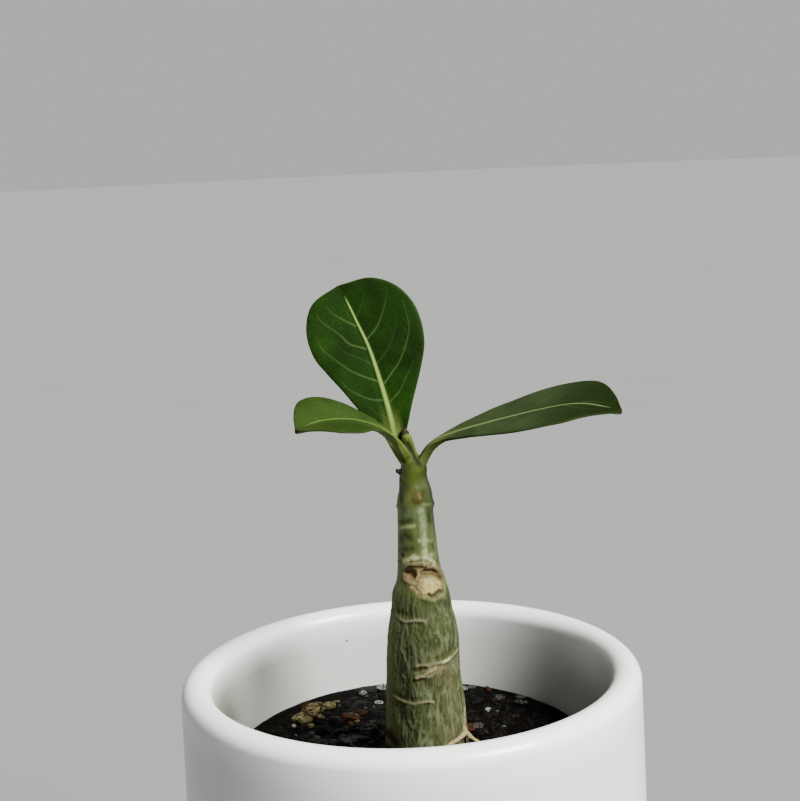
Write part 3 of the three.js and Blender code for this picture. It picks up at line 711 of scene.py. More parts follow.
# %% Marks of the stem
# For each kind of mark: width in mm, how far out in mm, and the line as (degrees, height).
# A knob is relief alone, and takes the colour of the bark round it.
STROKES = {
    "crust": [
        (0.6, 0.45, [(-134, 24.0), (-124, 24.4), (-108, 24.7), (-94, 24.9), (-74, 24.75), (-57, 24.1),
                     (-45, 23.4)]),
        (0.45, 0.15, [(-104, 24.6), (-101, 25.4)]), (0.5, 0.12, [(-74, 24.8), (-70, 26.2)]),
        (0.4, 0.12, [(-54, 24.0), (-50, 25.2)]), (0.36, 0.2, [(-58, 2.75), (-52, 2.85), (-47, 3.1)]),
    ],
    "ring": [
        (0.4, 0.12, [(158, 23.9), (-170, 23.5), (-146, 23.7)]),
        (0.34, 0.15, [(-175, 12.9), (-160, 13.1), (-144, 12.5), (-130.6, 12.0), (-118, 11.85),
                      (-107, 12.1), (-96.6, 12.2), (-86, 11.95)]),
        (0.34, 0.15, [(-102, 2.4), (-91, 2.8), (-78.7, 2.8), (-68.9, 2.85), (-60, 2.85), (-52.4, 2.95),
                      (-46, 3.2), (-38.8, 3.3), (-28, 3.8), (-18, 4.2)]),
        (0.4, 0.12, [(-84, 0.0), (-78, 0.25), (-73, 0.9)]),
        (0.34, 0.15, [(-178, -4.7), (-158, -4.9), (-140, -5.2), (-129.6, -5.55), (-120.4, -5.7),
                      (-112, -5.77), (-104, -5.69), (-96.3, -5.45), (-86, -5.35), (-78, -5.6)]),
        (0.32, 0.22, [(40, 5.6), (62, 5.9), (88, 5.7), (112, 5.2), (130, 5.4)]),
        (0.32, 0.22, [(20, -12.2), (48, -12.6), (80, -12.1), (104, -12.4)]),
        (0.3, 0.22, [(70, 14.9), (100, 14.5), (132, 14.7), (150, 15.1)]),
    ],
    "tan": [
        (0.62, 0.34, [(-135, 22.8), (-119, 23.35), (-104, 23.65), (-87, 23.7), (-68, 23.3), (-50, 22.9),
                      (-28, 22.0), (-15, 20.9)]),
        (0.36, 0.1, [(-80.7, 22.6), (-92, 22.3), (-96.7, 21.9), (-96.2, 21.0), (-94.4, 20.2)]),
        (0.62, 0.36, [(-134, 21.0), (-128, 20.45), (-118, 19.95), (-108, 19.6), (-99, 19.5), (-92, 19.8)]),
        (0.7, 0.22, [(-112, 19.1), (-102, 18.5), (-94, 17.8)]),
        (0.3, 0.26, [(-103, -0.35), (-98, -0.05), (-90.6, 0.3)]),
        (0.4, 0.26, [(-90.6, 0.3), (-84.5, 0.9), (-78.3, 1.3), (-72, 1.8)]),
        (0.5, 0.2, [(-24, -13.2), (-20, -11.6), (-15, -9.6)]),
    ],
    # Dark brown lines in the grooves beside the scars: the bark's own brown, darkened further as painted
    # shade.
    "brown": [
        (0.3, -0.15, [(-128, 22.6), (-107.5, 23.1), (-90.8, 23.15), (-72.6, 22.7)]),
        (0.34, -0.5, [(-76, 17.5), (-68.5, 17.05), (-59.1, 17.2), (-50.7, 17.7), (-42.4, 17.5)]),
        (0.36, -0.2, [(-105, 1.5), (-96, 1.65), (-88, 1.95)]),
        (0.3, -0.2, [(-106, -1.1), (-98, -0.9), (-92, -0.6)]),
        (0.34, -0.08, [(-147, 25.6), (-137, 25.2)]),
    ],
    "ridge": [
        (0.55, 0.25, [(-91, 16.9), (-79.3, 16.4), (-64.8, 16.2), (-52.3, 16.6), (-43.4, 16.8),
                      (-36, 17.2)]),
        (0.75, 0.3, [(-17.5, 20.3), (-24, 18.9), (-33, 17.9), (-40, 16.4)]),
    ],
    # Painted shade: dark olive beside the scars and the wound, on the young stem's shaded sides, and
    # between the stalks at the top.
    "dusk": [
        (0.7, -0.1, [(-95, 16.9), (-88, 16.2), (-84, 15.0)]), (0.6, -0.1, [(-112, 18.0), (-108, 16.6)]),
        (0.7, -0.08, [(-142, 13.6), (-125, 13.3), (-112, 13.2)]),
        (1.0, -0.08, [(-112, 10.6), (-100, 9.9), (-92, 10.6)]),
        (0.5, -0.12, [(-82, 3.75), (-72, 3.9), (-62, 4.1), (-50, 4.3), (-42, 4.5)]),
        (0.5, -0.08, [(-138, -4.4), (-124, -4.8), (-108, -4.9), (-98, -4.7)]),
        (1.0, -0.1, [(-148, 28.8), (-128, 29.6), (-114, 29.2)]),
        (0.55, -0.08, [(-152, 32.5), (-125, 32.7), (-106, 33.0)]),
        (0.7, -0.1, [(-156, 26.3), (-126, 26.7), (-110, 27.0)]),
        (0.9, 0.0, [(-160, 41.2), (-150, 39.4), (-144, 37.4)]), (0.5, -0.05, [(-44, 34.2), (-40, 32.0)]),
        (0.5, -0.05, [(-40, 28.2), (-36, 26.2)]), (0.8, 0.0, [(-104, 44.9), (-84, 45.3), (-66, 45.2)]),
    ],
    "wood": [
        (0.8, 0.0, [(-80, 1.4), (-68, 1.5), (-56, 1.2)]),
    ],
    "pale": [
        (0.36, 0.12, [(-67, 36.5), (-52, 36.3), (-38, 36.2)]),
        (0.42, 0.1, [(-156, 31.1), (-126, 31.6), (-109, 31.8), (-96, 31.9)]),
        (0.44, 0.12, [(-84, 28.6), (-71, 28.5), (-55, 28.3), (-42, 28.2)]),
        (0.36, 0.1, [(40, 34.2), (75, 34.5), (105, 34.1)]),
        (0.36, 0.1, [(110, 29.6), (140, 29.3), (165, 29.8)]),
    ],
    # Painted highlight: a pale streak down the young stem where the lamp's reflection runs.
    "bloom": [
        (0.8, 0.0, [(-72, 35.4), (-69, 34.2), (-67.7, 32.6), (-67.5, 30.9), (-70, 29.2), (-69, 27.4),
                    (-69, 25.4)]),
    ],
    # Painted light: pale grey-green bands on the shaded front left of the young stem.
    "haze": [
        (1.3, 0.0, [(-128, 34.4), (-112, 34.6), (-97, 34.4), (-83, 34.6)]),
        (0.5, 0.0, [(-84, 40.3), (-80, 40.3)]),
    ],
    "scar": [
        (1.0, -0.05, [(-98, 38.9), (-95, 37.4), (-84, 37.1), (-74, 38.2)]),
        (0.6, 0.1, [(-70, 38.8), (-60, 39.3)]),
    ],
    # Painted shadow under the leaf scar.
    "umber": [
        (0.5, -0.08, [(-97, 37.5), (-92, 37.0), (-82, 36.9)]),
    ],
    "husk": [
        (0.38, 0.1, [(-77, 38.6), (-73, 37.9)]),
    ],
    "warm": [
        (0.8, 0.1, [(-152, 41.9), (-130, 41.4)]), (1.0, 0.0, [(-130, 43.6), (-127, 40.2)]),
        (2.6, 0.0, [(-50, 0.5), (-42, -5.5), (-50, -11.0), (-64, -14.0)]),
        (1.2, 0.0, [(-84, 4.4), (-66, 5.0)]),
    ],
    "knob": [
        (0.6, 0.3, [(-38, 36.1), (-12, 35.9), (14, 35.7)]), (0.5, 0.2, [(-178, 35.6), (-158, 35.7)]),
    ],
    # Painted shade in the cleft at the right of the growing tip.
    "cleft": [
        (0.85, -0.1, [(-80, 49.6), (-68, 48.6), (-58, 47.6), (-55, 46.6), (-60, 45.4)]),
    ],
    # Painted light: paler bands down the young stem, on its right where the right leaf casts its shadow,
    # and on its shaded left.
    "wax": [
        (1.5, 0.0, [(-28, 40.5), (-32, 38.5), (-32, 33), (-32, 25.5)]),
        (1.3, 0.0, [(-166, 44.0), (-164, 39.5), (-163, 34), (-163, 26)]),
    ],
    "moss": [
        (2.6, 0.0, [(-116, 9.4), (-102, 8.6), (-90, 9.6)]),
        (2.0, 0.0, [(-126, 16.2), (-92, 15.2), (-66, 14.4)]), (1.8, 0.0, [(-62, 12.6), (-52, 10.8)]),
        (2.2, 0.0, [(-104, -8.6), (-92, -10.6)]),
    ],
    "earth": [
        (1.6, 0.0, [(-178, -14.5), (-150, -14.2), (-136, -15.2)]),
        (0.6, -0.1, [(-40, -15.0), (-33, -15.6)]),
        (1.3, 0.0, [(180, -17.8), (120, -17.2), (60, -17.6), (0, -17.4), (-60, -17.9), (-120, -17.4),
                    (-180, -17.8)]),
    ],
}
WOUND = [(-142, 21.7), (-137, 22.5), (-119, 23.4), (-104, 23.7), (-87, 23.75), (-68, 23.3), (-50, 22.9),
         (-28, 22.0), (-18, 20.7), (-26, 19), (-36, 17.9), (-50, 17.2), (-64, 16.8), (-80, 17.0),
         (-96, 17.7), (-108, 18.7), (-122, 19.7), (-134, 20.6)]
CALLUS = [(-98, 20.4), (-80, 20.9), (-64, 20.85), (-48, 20.2), (-40, 19.2), (-43, 18.6), (-52, 18.1),
          (-64, 17.7), (-78, 17.4), (-90, 17.6), (-98, 18.4), (-104, 19.4)]
LEFT_HOLLOW = [(-136, 21.7), (-131, 22.1), (-120, 22.4), (-107, 22.5), (-102, 22.1), (-101.5, 21.4),
               (-105, 20.7), (-112, 20.6), (-124, 21.1), (-131, 21.3)]
RIGHT_HOLLOW = [(-90.5, 21.2), (-86, 21.9), (-78, 22.25), (-65, 22.4), (-48, 22.05), (-34, 21.1),
                (-26, 19.7), (-34, 19.5), (-48, 20.75), (-64, 21.3), (-80, 21.3)]
# For each kind of patch: softness of its edge in mm, how far out in mm, and its outline.
PATCHES = {
    "wood": [(0.5, -0.12, WOUND)],
    "callus": [(0.45, 0.4, CALLUS), (1.2, 0.45, CALLUS)],
    "hollow": [(0.26, -0.95, LEFT_HOLLOW), (0.26, -0.85, RIGHT_HOLLOW)],
}
MOTTLED = ("bloom", "dusk", "pale", "ridge", "wood", "callus", "crust")
masks, raised, sunk = {}, np.zeros(len(heights)), np.zeros(len(heights))
for draw_mark, table in ((stroke, STROKES), (patch, PATCHES)):
    for kind, marks in table.items():
        for width, out, rows in marks:
            share = draw_mark(rows, width)
            masks[kind] = np.maximum(masks.get(kind, 0), share)
            raised = np.maximum(raised, max(out, 0) * share)
            sunk = np.minimum(sunk, min(out, 0) * share)
for kind in MOTTLED:
    masks[kind] = masks[kind] * np.clip(0.95 + 0.7 * grain(bare, 1.2, 70.0 + len(kind), 2), 0, 1)
relief = raised + sunk
print("marks:", sorted(masks))

# %% Bark relief
# Heights in millimetres of the cork's ridges, their crests and the wide swellings, and the furrows' depth
RIDGE, CREST, SWELLING, FURROW = 0.15, 0.05, 0.24, 0.14
old_bark = 1 - smooth(heights + 1.2 * grain(bare, 5, 3.0), 16.0, 19.5)
warped = bare + 0.4 * np.stack([grain(bare, 3.0, 40.0), grain(bare, 3.0, 50.0), 0 * heights], -1)
wide_net = np.abs(grain(warped / [1, 1, 3.8], 1.1, 61.0))
fine_net = np.abs(grain(warped / [1, 1, 3.4], 0.62, 83.0))
streaks = grain(bare / [1, 1, 6.0], 0.8, 91.0, 2)
ridges = np.maximum(1 - smooth(wide_net, 0.08, 0.36), 0.7 * (1 - smooth(fine_net, 0.05, 0.28)))
ridges = np.clip((ridges + 0.3 * streaks) * (0.8 + 0.5 * grain(bare, 4.0, 8.0)), 0, 1)
crests = np.maximum(1 - smooth(wide_net, 0.03, 0.22), 0.8 * (1 - smooth(fine_net, 0.03, 0.18)))
crests = crests * smooth(grain(bare, 2.6, 28.0) + streaks, -0.6, 0.6)
broad = grain(bare / [1, 1, 1.6], 5.2, 6.0, 2)
rough = grain(bare, 0.8, 22.0, 3)
torn = np.clip(masks["crust"] + masks["tan"] + 0.3 * masks["callus"], 0, 1)
plain = 1 - np.clip(sum(masks[kind] for kind in ("crust", "wood", "hollow", "brown", "ring")), 0, 1)
relief += plain * old_bark * (RIDGE * ridges + CREST * crests - FURROW + SWELLING * broad)
relief += (1 - old_bark) * (0.1 * broad + 0.05 * grain(bare / [1, 1, 4], 1.3, 2.0, 2)) + 0.16 * torn * rough
relief *= smooth(heights, -30, -23) * (1 - 0.8 * smooth(heights, 50.6, 51.4))
stem_points = bare + outward * relief[:, None]
tip = smooth(heights, 39.0, 42.5)
masks.update(ridges=ridges * old_bark, crests=crests * old_bark, bark=old_bark, tip=tip)
masks.update(bud=smooth(heights, 45.6, 47.4), dull=np.maximum(old_bark, 0.85 * tip))
# Painted fill light: the bark is painted paler on the side turned from the lamp.
masks.update(lee=bell((degrees + 345) % 360 - 180, 30))
print("bark relief from", round(relief.min(), 2), "to", round(relief.max(), 2), "mm")

# %% [markdown]
# ## Side shoots of the stem
# Two thin rootlets leave the base at the right and go down into the soil, a dry stub of a fallen leaf
# stands near the top, and a dark tuft stands by the tip, where its near-black colour is partly painted
# shade. They are tapered tubes, sunk into the stem, in the same mesh.

# %% Rootlets and stub
# Each point of a line: its place, its height and the radius there.
ROOTLETS = [
    [(10.4, -3.4, -13.4, 0.8), (11.1, -4.2, -14.3, 0.62), (9.7, -6.3, -14.8, 0.5),
     (8.0, -7.8, -15.3, 0.45), (6.6, -8.7, -16.0, 0.42), (5.2, -9.5, -18.0, 0.4), (4.8, -9.8, -24.5, 0.35)],
    [(10.4, -3.4, -13.4, 0.8), (11.4, -4.3, -14.5, 0.6), (12.8, -5.2, -15.5, 0.46),
     (13.9, -5.8, -16.2, 0.4), (15.6, -6.6, -18.2, 0.36), (16.8, -7.4, -24.5, 0.32)],
]
STUB = [(1.4, 0.2, 42.9, 1.1), (0.3, 0.0, 43.1, 0.95), (-0.6, -0.1, 43.5, 0.6), (-1.3, -0.2, 43.85, 0.22)]
# The tuft takes the stub's near-black colour, which is partly painted shade by the tip.
BUD_TUFT = [(1.2, 0.9, 49.0, 0.85), (0.95, 1.0, 50.6, 0.95), (0.95, 1.1, 51.8, 0.8), (1.1, 1.2, 52.6, 0.25)]
SHOOT_STEPS, SHOOT_SIDES = 56, 20
SHOOTS = [(ROOTLETS[0], "rootlet"), (ROOTLETS[1], "rootlet"), (STUB, "stub"), (BUD_TUFT, "stub")]
stem_faces = skin_faces(STEM_ROWS, STEM_SIDES)
masks["rootlet"], masks["stub"] = 0 * heights, 0 * heights
for rows, kind in SHOOTS:
    line = spline(rows, np.linspace(0, 1, SHOOT_STEPS))
    wobble = 0.1 * grain(line[:, :3], 2.0, 4.0)[:, None]
    tube = tube_points(line[:, :3] + wobble, line[:, 3], SHOOT_SIDES)
    tube = tube + 0.14 * grain(tube, 0.7, 6.0, 2)[:, None]
    stem_faces += skin_faces(SHOOT_STEPS, SHOOT_SIDES, len(stem_points))
    stem_points = np.vstack([stem_points, tube])
    for name in masks:
        masks[name] = np.r_[masks[name], np.full(len(tube), float(name in (kind, "dull")))]
swollen_stem = piece("swollen_stem", stem_points, stem_faces)
for name, values in masks.items():
    write_mask(swollen_stem, name, values)

# %% [markdown]
# ## Living bark
# Green tissue shows through thin grey cork, so the ridges are grey-green and the furrows dark olive.
# The young stem is a smooth waxy green, glossier than the cork. The healed cut is dry wood and
# callus: cream and tan, with brown hollows. Each colour is laid in by its own mask.

# %% Bark material
# Kind of mark, its darker and lighter tone, and the share of the mask that is full colour.
# Several tones are painted light and shade: the paler side turned from the lamp, the pale bands, streak and
# front bands on the young stem, the dark olive patches, the cleft by the tip, the shadow under the leaf
# scar, part of the brown in the grooves and the near-black of the tuft.
MARK_TONES = [
    ("lee", "#5E633C", "#767C53", 0.9), ("wax", "#5F6D3B", "#78875A", 1.15),
    ("moss", "#2A3315", "#3C4722", 1.7), ("warm", "#3B3920", "#524E33", 2.2),
    ("haze", "#50603A", "#6E7D56", 1.2), ("earth", "#1E160B", "#33271A", 1.0),
    ("bloom", "#869764", "#B7C694", 1.05), ("ridge", "#4C4F2A", "#6F7248", 1.0),
    ("ring", "#57553C", "#69674C", 0.9), ("dusk", "#232A0C", "#353D15", 1.3),
    ("cleft", "#0C0F02", "#191E06", 0.95), ("pale", "#74824C", "#ABB682", 1.0),
    ("wood", "#49412A", "#6A6044", 0.9), ("callus", "#766A3A", "#AFA065", 0.85),
    ("tan", "#5F5238", "#867856", 0.9), ("crust", "#6E7045", "#B9BA8B", 0.85),
    ("scar", "#45441A", "#5C5A28", 1.0), ("umber", "#33290A", "#443A14", 1.3),
    ("husk", "#655A2E", "#84784A", 0.8), ("brown", "#29240F", "#3F391A", 0.9),
    ("hollow", "#46371F", "#6B5735", 0.8), ("rootlet", "#5B4F33", "#8C7F5C", 1.0),
    ("stub", "#15140A", "#2A2414", 1.0),
]
WAXY_ROUGHNESS, CORK_ROUGHNESS = 0.48, 0.8
living_bark, tree, shader = new_material("living_bark", IOR=1.45, Roughness=0.6, Specular_IOR_Level=0.14)
shade = noise_texture(tree, 3.0, 4, 0.6, squash=(1, 1, 0.4))
fine = noise_texture(tree, 0.5, 4, 0.65, squash=(1, 1, 0.4))
grit = stretch(tree, fine, 0.32, 0.68)
young = blend_colours(tree, stretch(tree, shade, 0.35, 0.65), "#434E21", "#5D6A3A")
young = blend_colours(tree, mask(tree, "tip"), young, "#3F4D16")
young = blend_colours(tree, mask(tree, "bud"), young, "#47521D")
gaps = blend_colours(tree, grit, "#22270F", "#30351A")
cork = blend_colours(tree, stretch(tree, shade, 0.3, 0.7), "#333822", "#464B31")
cork = blend_colours(tree, mask(tree, "ridges"), gaps, cork)
cork = blend_colours(tree, mask(tree, "crests"), cork, "#555B41")
colour = blend_colours(tree, mask(tree, "bark"), young, cork)
for kind, dark, light, full in MARK_TONES:
    tone = blend_colours(tree, grit, dark, light)
    colour = blend_colours(tree, stretch(tree, mask(tree, kind), 0.05, full), colour, tone)
tree.links.new(colour, shader.inputs["Base Color"])
dullness = stretch(tree, mask(tree, "dull"), 0, 1, WAXY_ROUGHNESS, CORK_ROUGHNESS)
tree.links.new(dullness, shader.inputs["Roughness"])
bump(tree, shader, fine, 0.08, 0.7)
settle(swollen_stem, living_bark, "bark", "stem")

# %% [markdown]
# ## The leaves
# A desert rose leaf is a thick, waxy, egg-shaped blade, widest past its middle, with a whole margin
# and a tiny point at its tip. It hardly has a stalk: the pale midrib runs straight into the stem.
# Each blade is drawn flat, as lengths along the rib and widths from it, and then bent along the rib's
# line in space, folded a little and waved. Veins are lines on the flat blade, so they bend with it.

# %% Leaf table
# The rib's line in space, the blade's side direction at its base and tip, the fold of its halves in
# degrees, the wave of its margin in mm, and both margins as (length along the rib, width from it).
LEAVES = {
    "leaf_upright": {
        "rib": [(1.2, 1.0, 44.8), (-0.8, 1.8, 49.0), (-1.8, 2.5, 54.7), (-3.2, 3.3, 60.7),
                (-5.6, 4.5, 69.2), (-8.3, 5.5, 75.7), (-11.2, 6.4, 82.4)],
        "side": [(-1, 0, 0), (-0.95, 0, -0.3)], "fold": 6, "wave": 0.2,
        "margins": [
            [(0, 1.2), (6, 1.9), (12.2, 5.4), (18.5, 8.1), (24.5, 10.6), (30, 11.6), (35.7, 10.4),
             (39.9, 6.8), (41.1, 0.3)],
            [(0, 1.2), (6, 2.3), (12, 5.0), (18, 8.6), (24, 11.7), (30, 12.7), (35.5, 11.1), (39.6, 6.7),
             (41, 0.3)],
        ],
    },
    "leaf_left": {
        "rib": [(1.7, -0.2, 45.2), (0.35, -0.9, 48.3), (-1.5, -2.05, 51.0), (-5.2, -5.0, 54.3),
                (-10.2, -9.2, 56.7), (-16.1, -14.2, 57.6), (-20.9, -18.2, 56.8)],
        "side": [(0.235, -0.95, -0.2), (0.69, -0.65, -0.33)], "fold": 9, "wave": 0.15,
        "margins": [
            [(0, 1.1), (5, 1.2), (9.5, 2.6), (14, 4.6), (18.5, 6.7), (23, 8.6), (27.1, 7.6), (30.6, 3.5),
             (33.8, 0.3)],
            [(0, 1.1), (5, 1.3), (9.5, 3.2), (14, 5.4), (18.3, 7.7), (23, 8.9), (27.4, 7.9), (31.1, 4.2),
             (33.8, 0.3)],
        ],
    },
    "leaf_right": {
        "rib": [(3.5, 0.3, 43.7), (4.7, -0.1, 46.3), (6.65, -1.0, 49.0), (10.2, -2.6, 51.2),
                (16.7, -6.1, 53.7), (28.8, -12.2, 57.5), (36.6, -16.2, 59.1), (44.1, -20.0, 58.2)],
        "side": [(0.1, 0.97, 0.25), (0.45, 0.85, 0.22)], "fold": 5, "wave": 0.12,
        "margins": [
            [(0, 1.1), (7.5, 1.3), (14.5, 3.9), (21.5, 7.0), (28.5, 9.3), (35.5, 10.8), (42, 10.6),
             (46.8, 6.0), (50.4, 0.3)],
            [(0, 1.1), (7.5, 1.3), (14.5, 3.8), (21.5, 6.8), (28.5, 9.6), (35.5, 11.4), (41.5, 10.2),
             (46, 5.0), (50.4, 0.3)],
        ],
    },
}

# %% Bending a flat blade along its rib
def rib_line(leaf):
    """Close points of the rib, and the length of the rib up to each."""
    line = spline(leaf["rib"], np.linspace(0, 1, 600))
    steps = np.linalg.norm(np.diff(line, axis=0), axis=1)
    return line, np.r_[0, np.cumsum(steps)]


def bend_blade(leaf, along, across, lift):
    """The blade in space, from lengths along the rib, widths from it and heights over its face."""
    line, run = rib_line(leaf)
    ahead_rows = np.gradient(line, axis=0)
    ahead_rows /= np.linalg.norm(ahead_rows, axis=1, keepdims=True)
    inside = np.clip(along, 0, run[-1])
    point = np.stack([np.interp(inside, run, line[:, i]) for i in range(3)], -1)
    ahead = np.stack([np.interp(inside, run, ahead_rows[:, i]) for i in range(3)], -1)
    point = point + ahead * (along - inside)[:, None]
    share = (inside / run[-1])[:, None]
    side = (1 - share) * np.array(leaf["side"][0]) + share * np.array(leaf["side"][1])
    side = side - (side * ahead).sum(1, keepdims=True) * ahead
    side /= np.linalg.norm(side, axis=1, keepdims=True)
    face = np.cross(ahead, side)
    fold = np.abs(across) * math.tan(math.radians(leaf["fold"])) - 0.002 * across**2
    wave = leaf["wave"] * np.sin(0.42 * along + np.sign(across)) * (across / 12) ** 2
    return point + side * across[:, None] + face * (fold + wave + lift)[:, None]


# %% Veins of one blade
# The upright leaf shows its veins plainly: (length, width) points of each, then how strong it is.
UPRIGHT_VEINS = [
    (0.8, [(14.7, 0.6), (15.7, 3.2), (18.5, 6.4), (21.5, 8.2)]),
    (0.9, [(18.9, 0.5), (21.3, 3.7), (24.1, 6.2), (29.6, 8.9), (33.5, 9.3)]),
    (0.9, [(26.3, 0.7), (28.7, 3.4), (31.4, 4.4), (35.6, 6.7), (37.6, 6.9)]),
    (0.8, [(31.6, 0.5), (35.7, 3.6), (38.2, 4.4)]),
    (0.35, [(22.7, 0.5), (25.5, 3.3), (28.2, 5.4), (31.4, 6.5)]),
    (0.35, [(10.8, 0.8), (12.4, 2.6), (15.0, 4.6)]),
    (0.8, [(14.1, -1.0), (15.7, -3.5), (17.8, -5.4), (20.6, -8.0)]),
    (1.0, [(18.1, -0.8), (19.8, -3), (21.7, -5.4), (25, -8.2), (27.3, -9.8), (32.2, -10.9)]),
    (0.9, [(28.2, -0.6), (29.8, -3.8), (32.5, -6.5), (35.6, -8.8)]),
    (0.35, [(22.6, -0.6), (24.4, -3.4), (27.6, -6.6), (30.8, -8.4)]),
    (0.35, [(33.4, -0.5), (35.4, -2.8), (37.8, -4.6)]), (0.3, [(10.4, -0.8), (12.2, -2.8), (14.4, -4.8)]),
]


def side_veins(leaf, length, seed):
    """Lines of the side veins on a flat blade: each leaves the rib and curves towards the tip."""
    draw = np.random.default_rng(seed)
    veins = []
    for hand, margin in ((1, leaf["margins"][0]), (-1, leaf["margins"][1])):
        starts = np.linspace(0.26, 0.8, 6) + draw.normal(0, 0.012, 6) + 0.02 * hand
        for k, start in enumerate(starts):
            out = 0.86 * np.interp(start + 0.14, np.linspace(0, 1, len(margin)), np.array(margin)[:, 1])
            forward = length * (0.2 + 0.04 * draw.random()) * (1 - 0.4 * start)
            t = np.linspace(0, 1, 7)
            vein_along = start * length + forward * (0.35 * t + 0.65 * t**2)
            vein_across = hand * out * (1 - (1 - t) ** 1.3)
            veins.append((0.75 if k % 2 else 0.4, np.stack([vein_along, vein_across], -1)))
    return veins


def vein_mask(along, across, veins):
    """How much of a vein each point of the flat blade carries, thinner towards the vein's end."""
    total = np.zeros(len(along))
    for strength, rows in veins:
        line = spline([(a, w, 0, 0) for a, w in rows], np.linspace(0, 1, 24))
        best, place = np.full(len(along), 9.0), np.zeros(len(along))
        for k in range(len(line) - 1):
            a, d = line[k, :2], line[k + 1, :2] - line[k, :2]
            t = np.clip(((along - a[0]) * d[0] + (across - a[1]) * d[1]) / (d @ d), 0, 1)
            far = np.hypot(along - a[0] - t * d[0], across - a[1] - t * d[1])
            place = np.where(far < best, (k + t) / (len(line) - 1), place)
            best = np.minimum(best, far)
        total = np.maximum(total, strength * (1 - 0.7 * place) * bell(best, 0.19 - 0.05 * place))
    return total


# %% Blade skin
BLADE_ROWS = 205
BLADE_SHARES = np.r_[np.linspace(0, 0.966, 60), 0.98, 0.99, 0.997, 1.0]
HALF_THICKNESS = 0.33
STALK_ABOVE, STALK_BELOW, STALK_LENGTH = 0.55, 0.95, 13.0
MIDRIB_WIDE, MIDRIB_SLIM = 0.54, 0.2
# Relief of the midrib and the veins: sunk or raised on the upper face, and raised on the underside
RIB_CREST, RIB_GROOVE, VEIN_GROOVE, VEIN_BELOW, RIB_BELOW = 0.1, 0.05, 0.05, 0.16, 0.1


def make_leaf(node, name, seed):
    """The blade as one closed skin: its upper face, its margin and its underside."""
    leaf = LEAVES[node]
    length = rib_line(leaf)[1][-1]
    row_shares = 1 - (1 - np.linspace(0, 1, BLADE_ROWS)) ** 1.15
    t = np.r_[-BLADE_SHARES[:0:-1], BLADE_SHARES]
    left, right = (spline(margin, row_shares) for margin in leaf["margins"])
    rib_at = row_shares[:, None] * length
    edge_at = np.where(t > 0, left[:, :1], right[:, :1])
    width = np.where(t > 0, left[:, 1:], right[:, 1:])
    along = rib_at + (edge_at - rib_at) * np.abs(t)
    across = t * width
    stalk = 1 - smooth(rib_at, 0, STALK_LENGTH)
    rounding = np.sqrt(np.clip(1 - np.abs(t) ** 14, 0, 1))
    veins = UPRIGHT_VEINS if node == "leaf_upright" else side_veins(leaf, length, seed)
    flat_along, flat_across = along.ravel(), across.ravel()
    vein = vein_mask(flat_along, flat_across, veins).reshape(along.shape)
    rib_width = MIDRIB_WIDE - (MIDRIB_WIDE - MIDRIB_SLIM) * smooth(along, 8, 0.95 * length)
    to_tip = smooth(length - along, 0.3, 4.5)
    midrib = bell(across, rib_width) * to_tip
    flat = np.stack([flat_along, flat_across, 0 * flat_along], -1)
    quilt = (0.10 * grain(flat, 5.0, seed, 2)).reshape(along.shape) * np.clip(np.abs(across) / 4, 0, 1)
    body = HALF_THICKNESS * rounding
    round_off = np.clip(1 - (across / 1.6) ** 2, 0, 1)
    crest = RIB_CREST * bell(across, rib_width) - RIB_GROOVE * bell(np.abs(across) - 2.2 * rib_width, 0.5)
    lines_above = (crest - VEIN_GROOVE * vein) * to_tip
    lines_below = (VEIN_BELOW * vein + RIB_BELOW * midrib) * to_tip
    above = body + STALK_ABOVE * stalk * round_off + (quilt + lines_above) * rounding
    below = (quilt - lines_below) * rounding - body - STALK_BELOW * (0.35 + 0.65 * stalk) * round_off
    top, under = (bend_blade(leaf, flat_along, flat_across, lift.ravel()).reshape(*along.shape, 3)
                  for lift in (above, below))
    top, under = top[:, ::-1], under[:, 1:-1]
    rings = np.concatenate([top, under], axis=1)
    made = piece(name, rings.reshape(-1, 3), skin_faces(BLADE_ROWS, rings.shape[1]))

    def both_faces(values):
        return np.concatenate([values[:, ::-1], values[:, 1:-1]], axis=1).ravel()

    is_under = np.concatenate([np.zeros(top.shape[:2]), np.ones(under.shape[:2])], axis=1)
    write_mask(made, "underside", is_under.ravel())
    shares = {
        "midrib": midrib, "vein": vein,
        "margin": smooth(np.abs(t) + 0 * along, 0.93, 1.0),
        "stalk": (1 - smooth(along, 3.0, 15.0)) * (1 - smooth(np.abs(across), 1.2, 2.6)),
        "seat": 1 - smooth(along, 0.5, 4.5),
        "outer": smooth(along, 0.55 * length, 0.95 * length),
        "point": bell(np.hypot(along - length, across), 0.55) * (node != "leaf_upright"),
    }
    for mark, values in shares.items():
        write_mask(made, mark, both_faces(values))
    # The flat blade is its own map, 100 mm to one unit, for the net of the finest veins.
    uv = made.data.uv_layers.new(name="flat_blade")
    corner = np.empty(len(made.data.loops), np.int32)
    made.data.loops.foreach_get("vertex_index", corner)
    spread = np.stack([both_faces(along), both_faces(across)], -1)[corner] * MM * 10
    uv.data.foreach_set("uv", spread.ravel())
    return made


# %% [markdown]
# ## Waxy leaf
# A leaf is green tissue under a clear wax skin: the wax gives a broad, soft gloss, and light that
# enters the thin blade spreads and comes out yellower. The upper face is dark, the midrib pale, and
# the side veins slightly paler than the blade. The underside is duller and lighter.

# %% Leaf materials
SHADED_GREEN, MARGIN_GREEN, DRY_POINT = "#0C1603", "#2A3A12", "#241D0E"
UNDER_BLADE, UNDER_RIB, UNDER_VEIN = "#3F4D26", "#6B7A42", "#55663A"
UNDERSIDE_ROUGHNESS = 0.65
NET_SCALE = 110


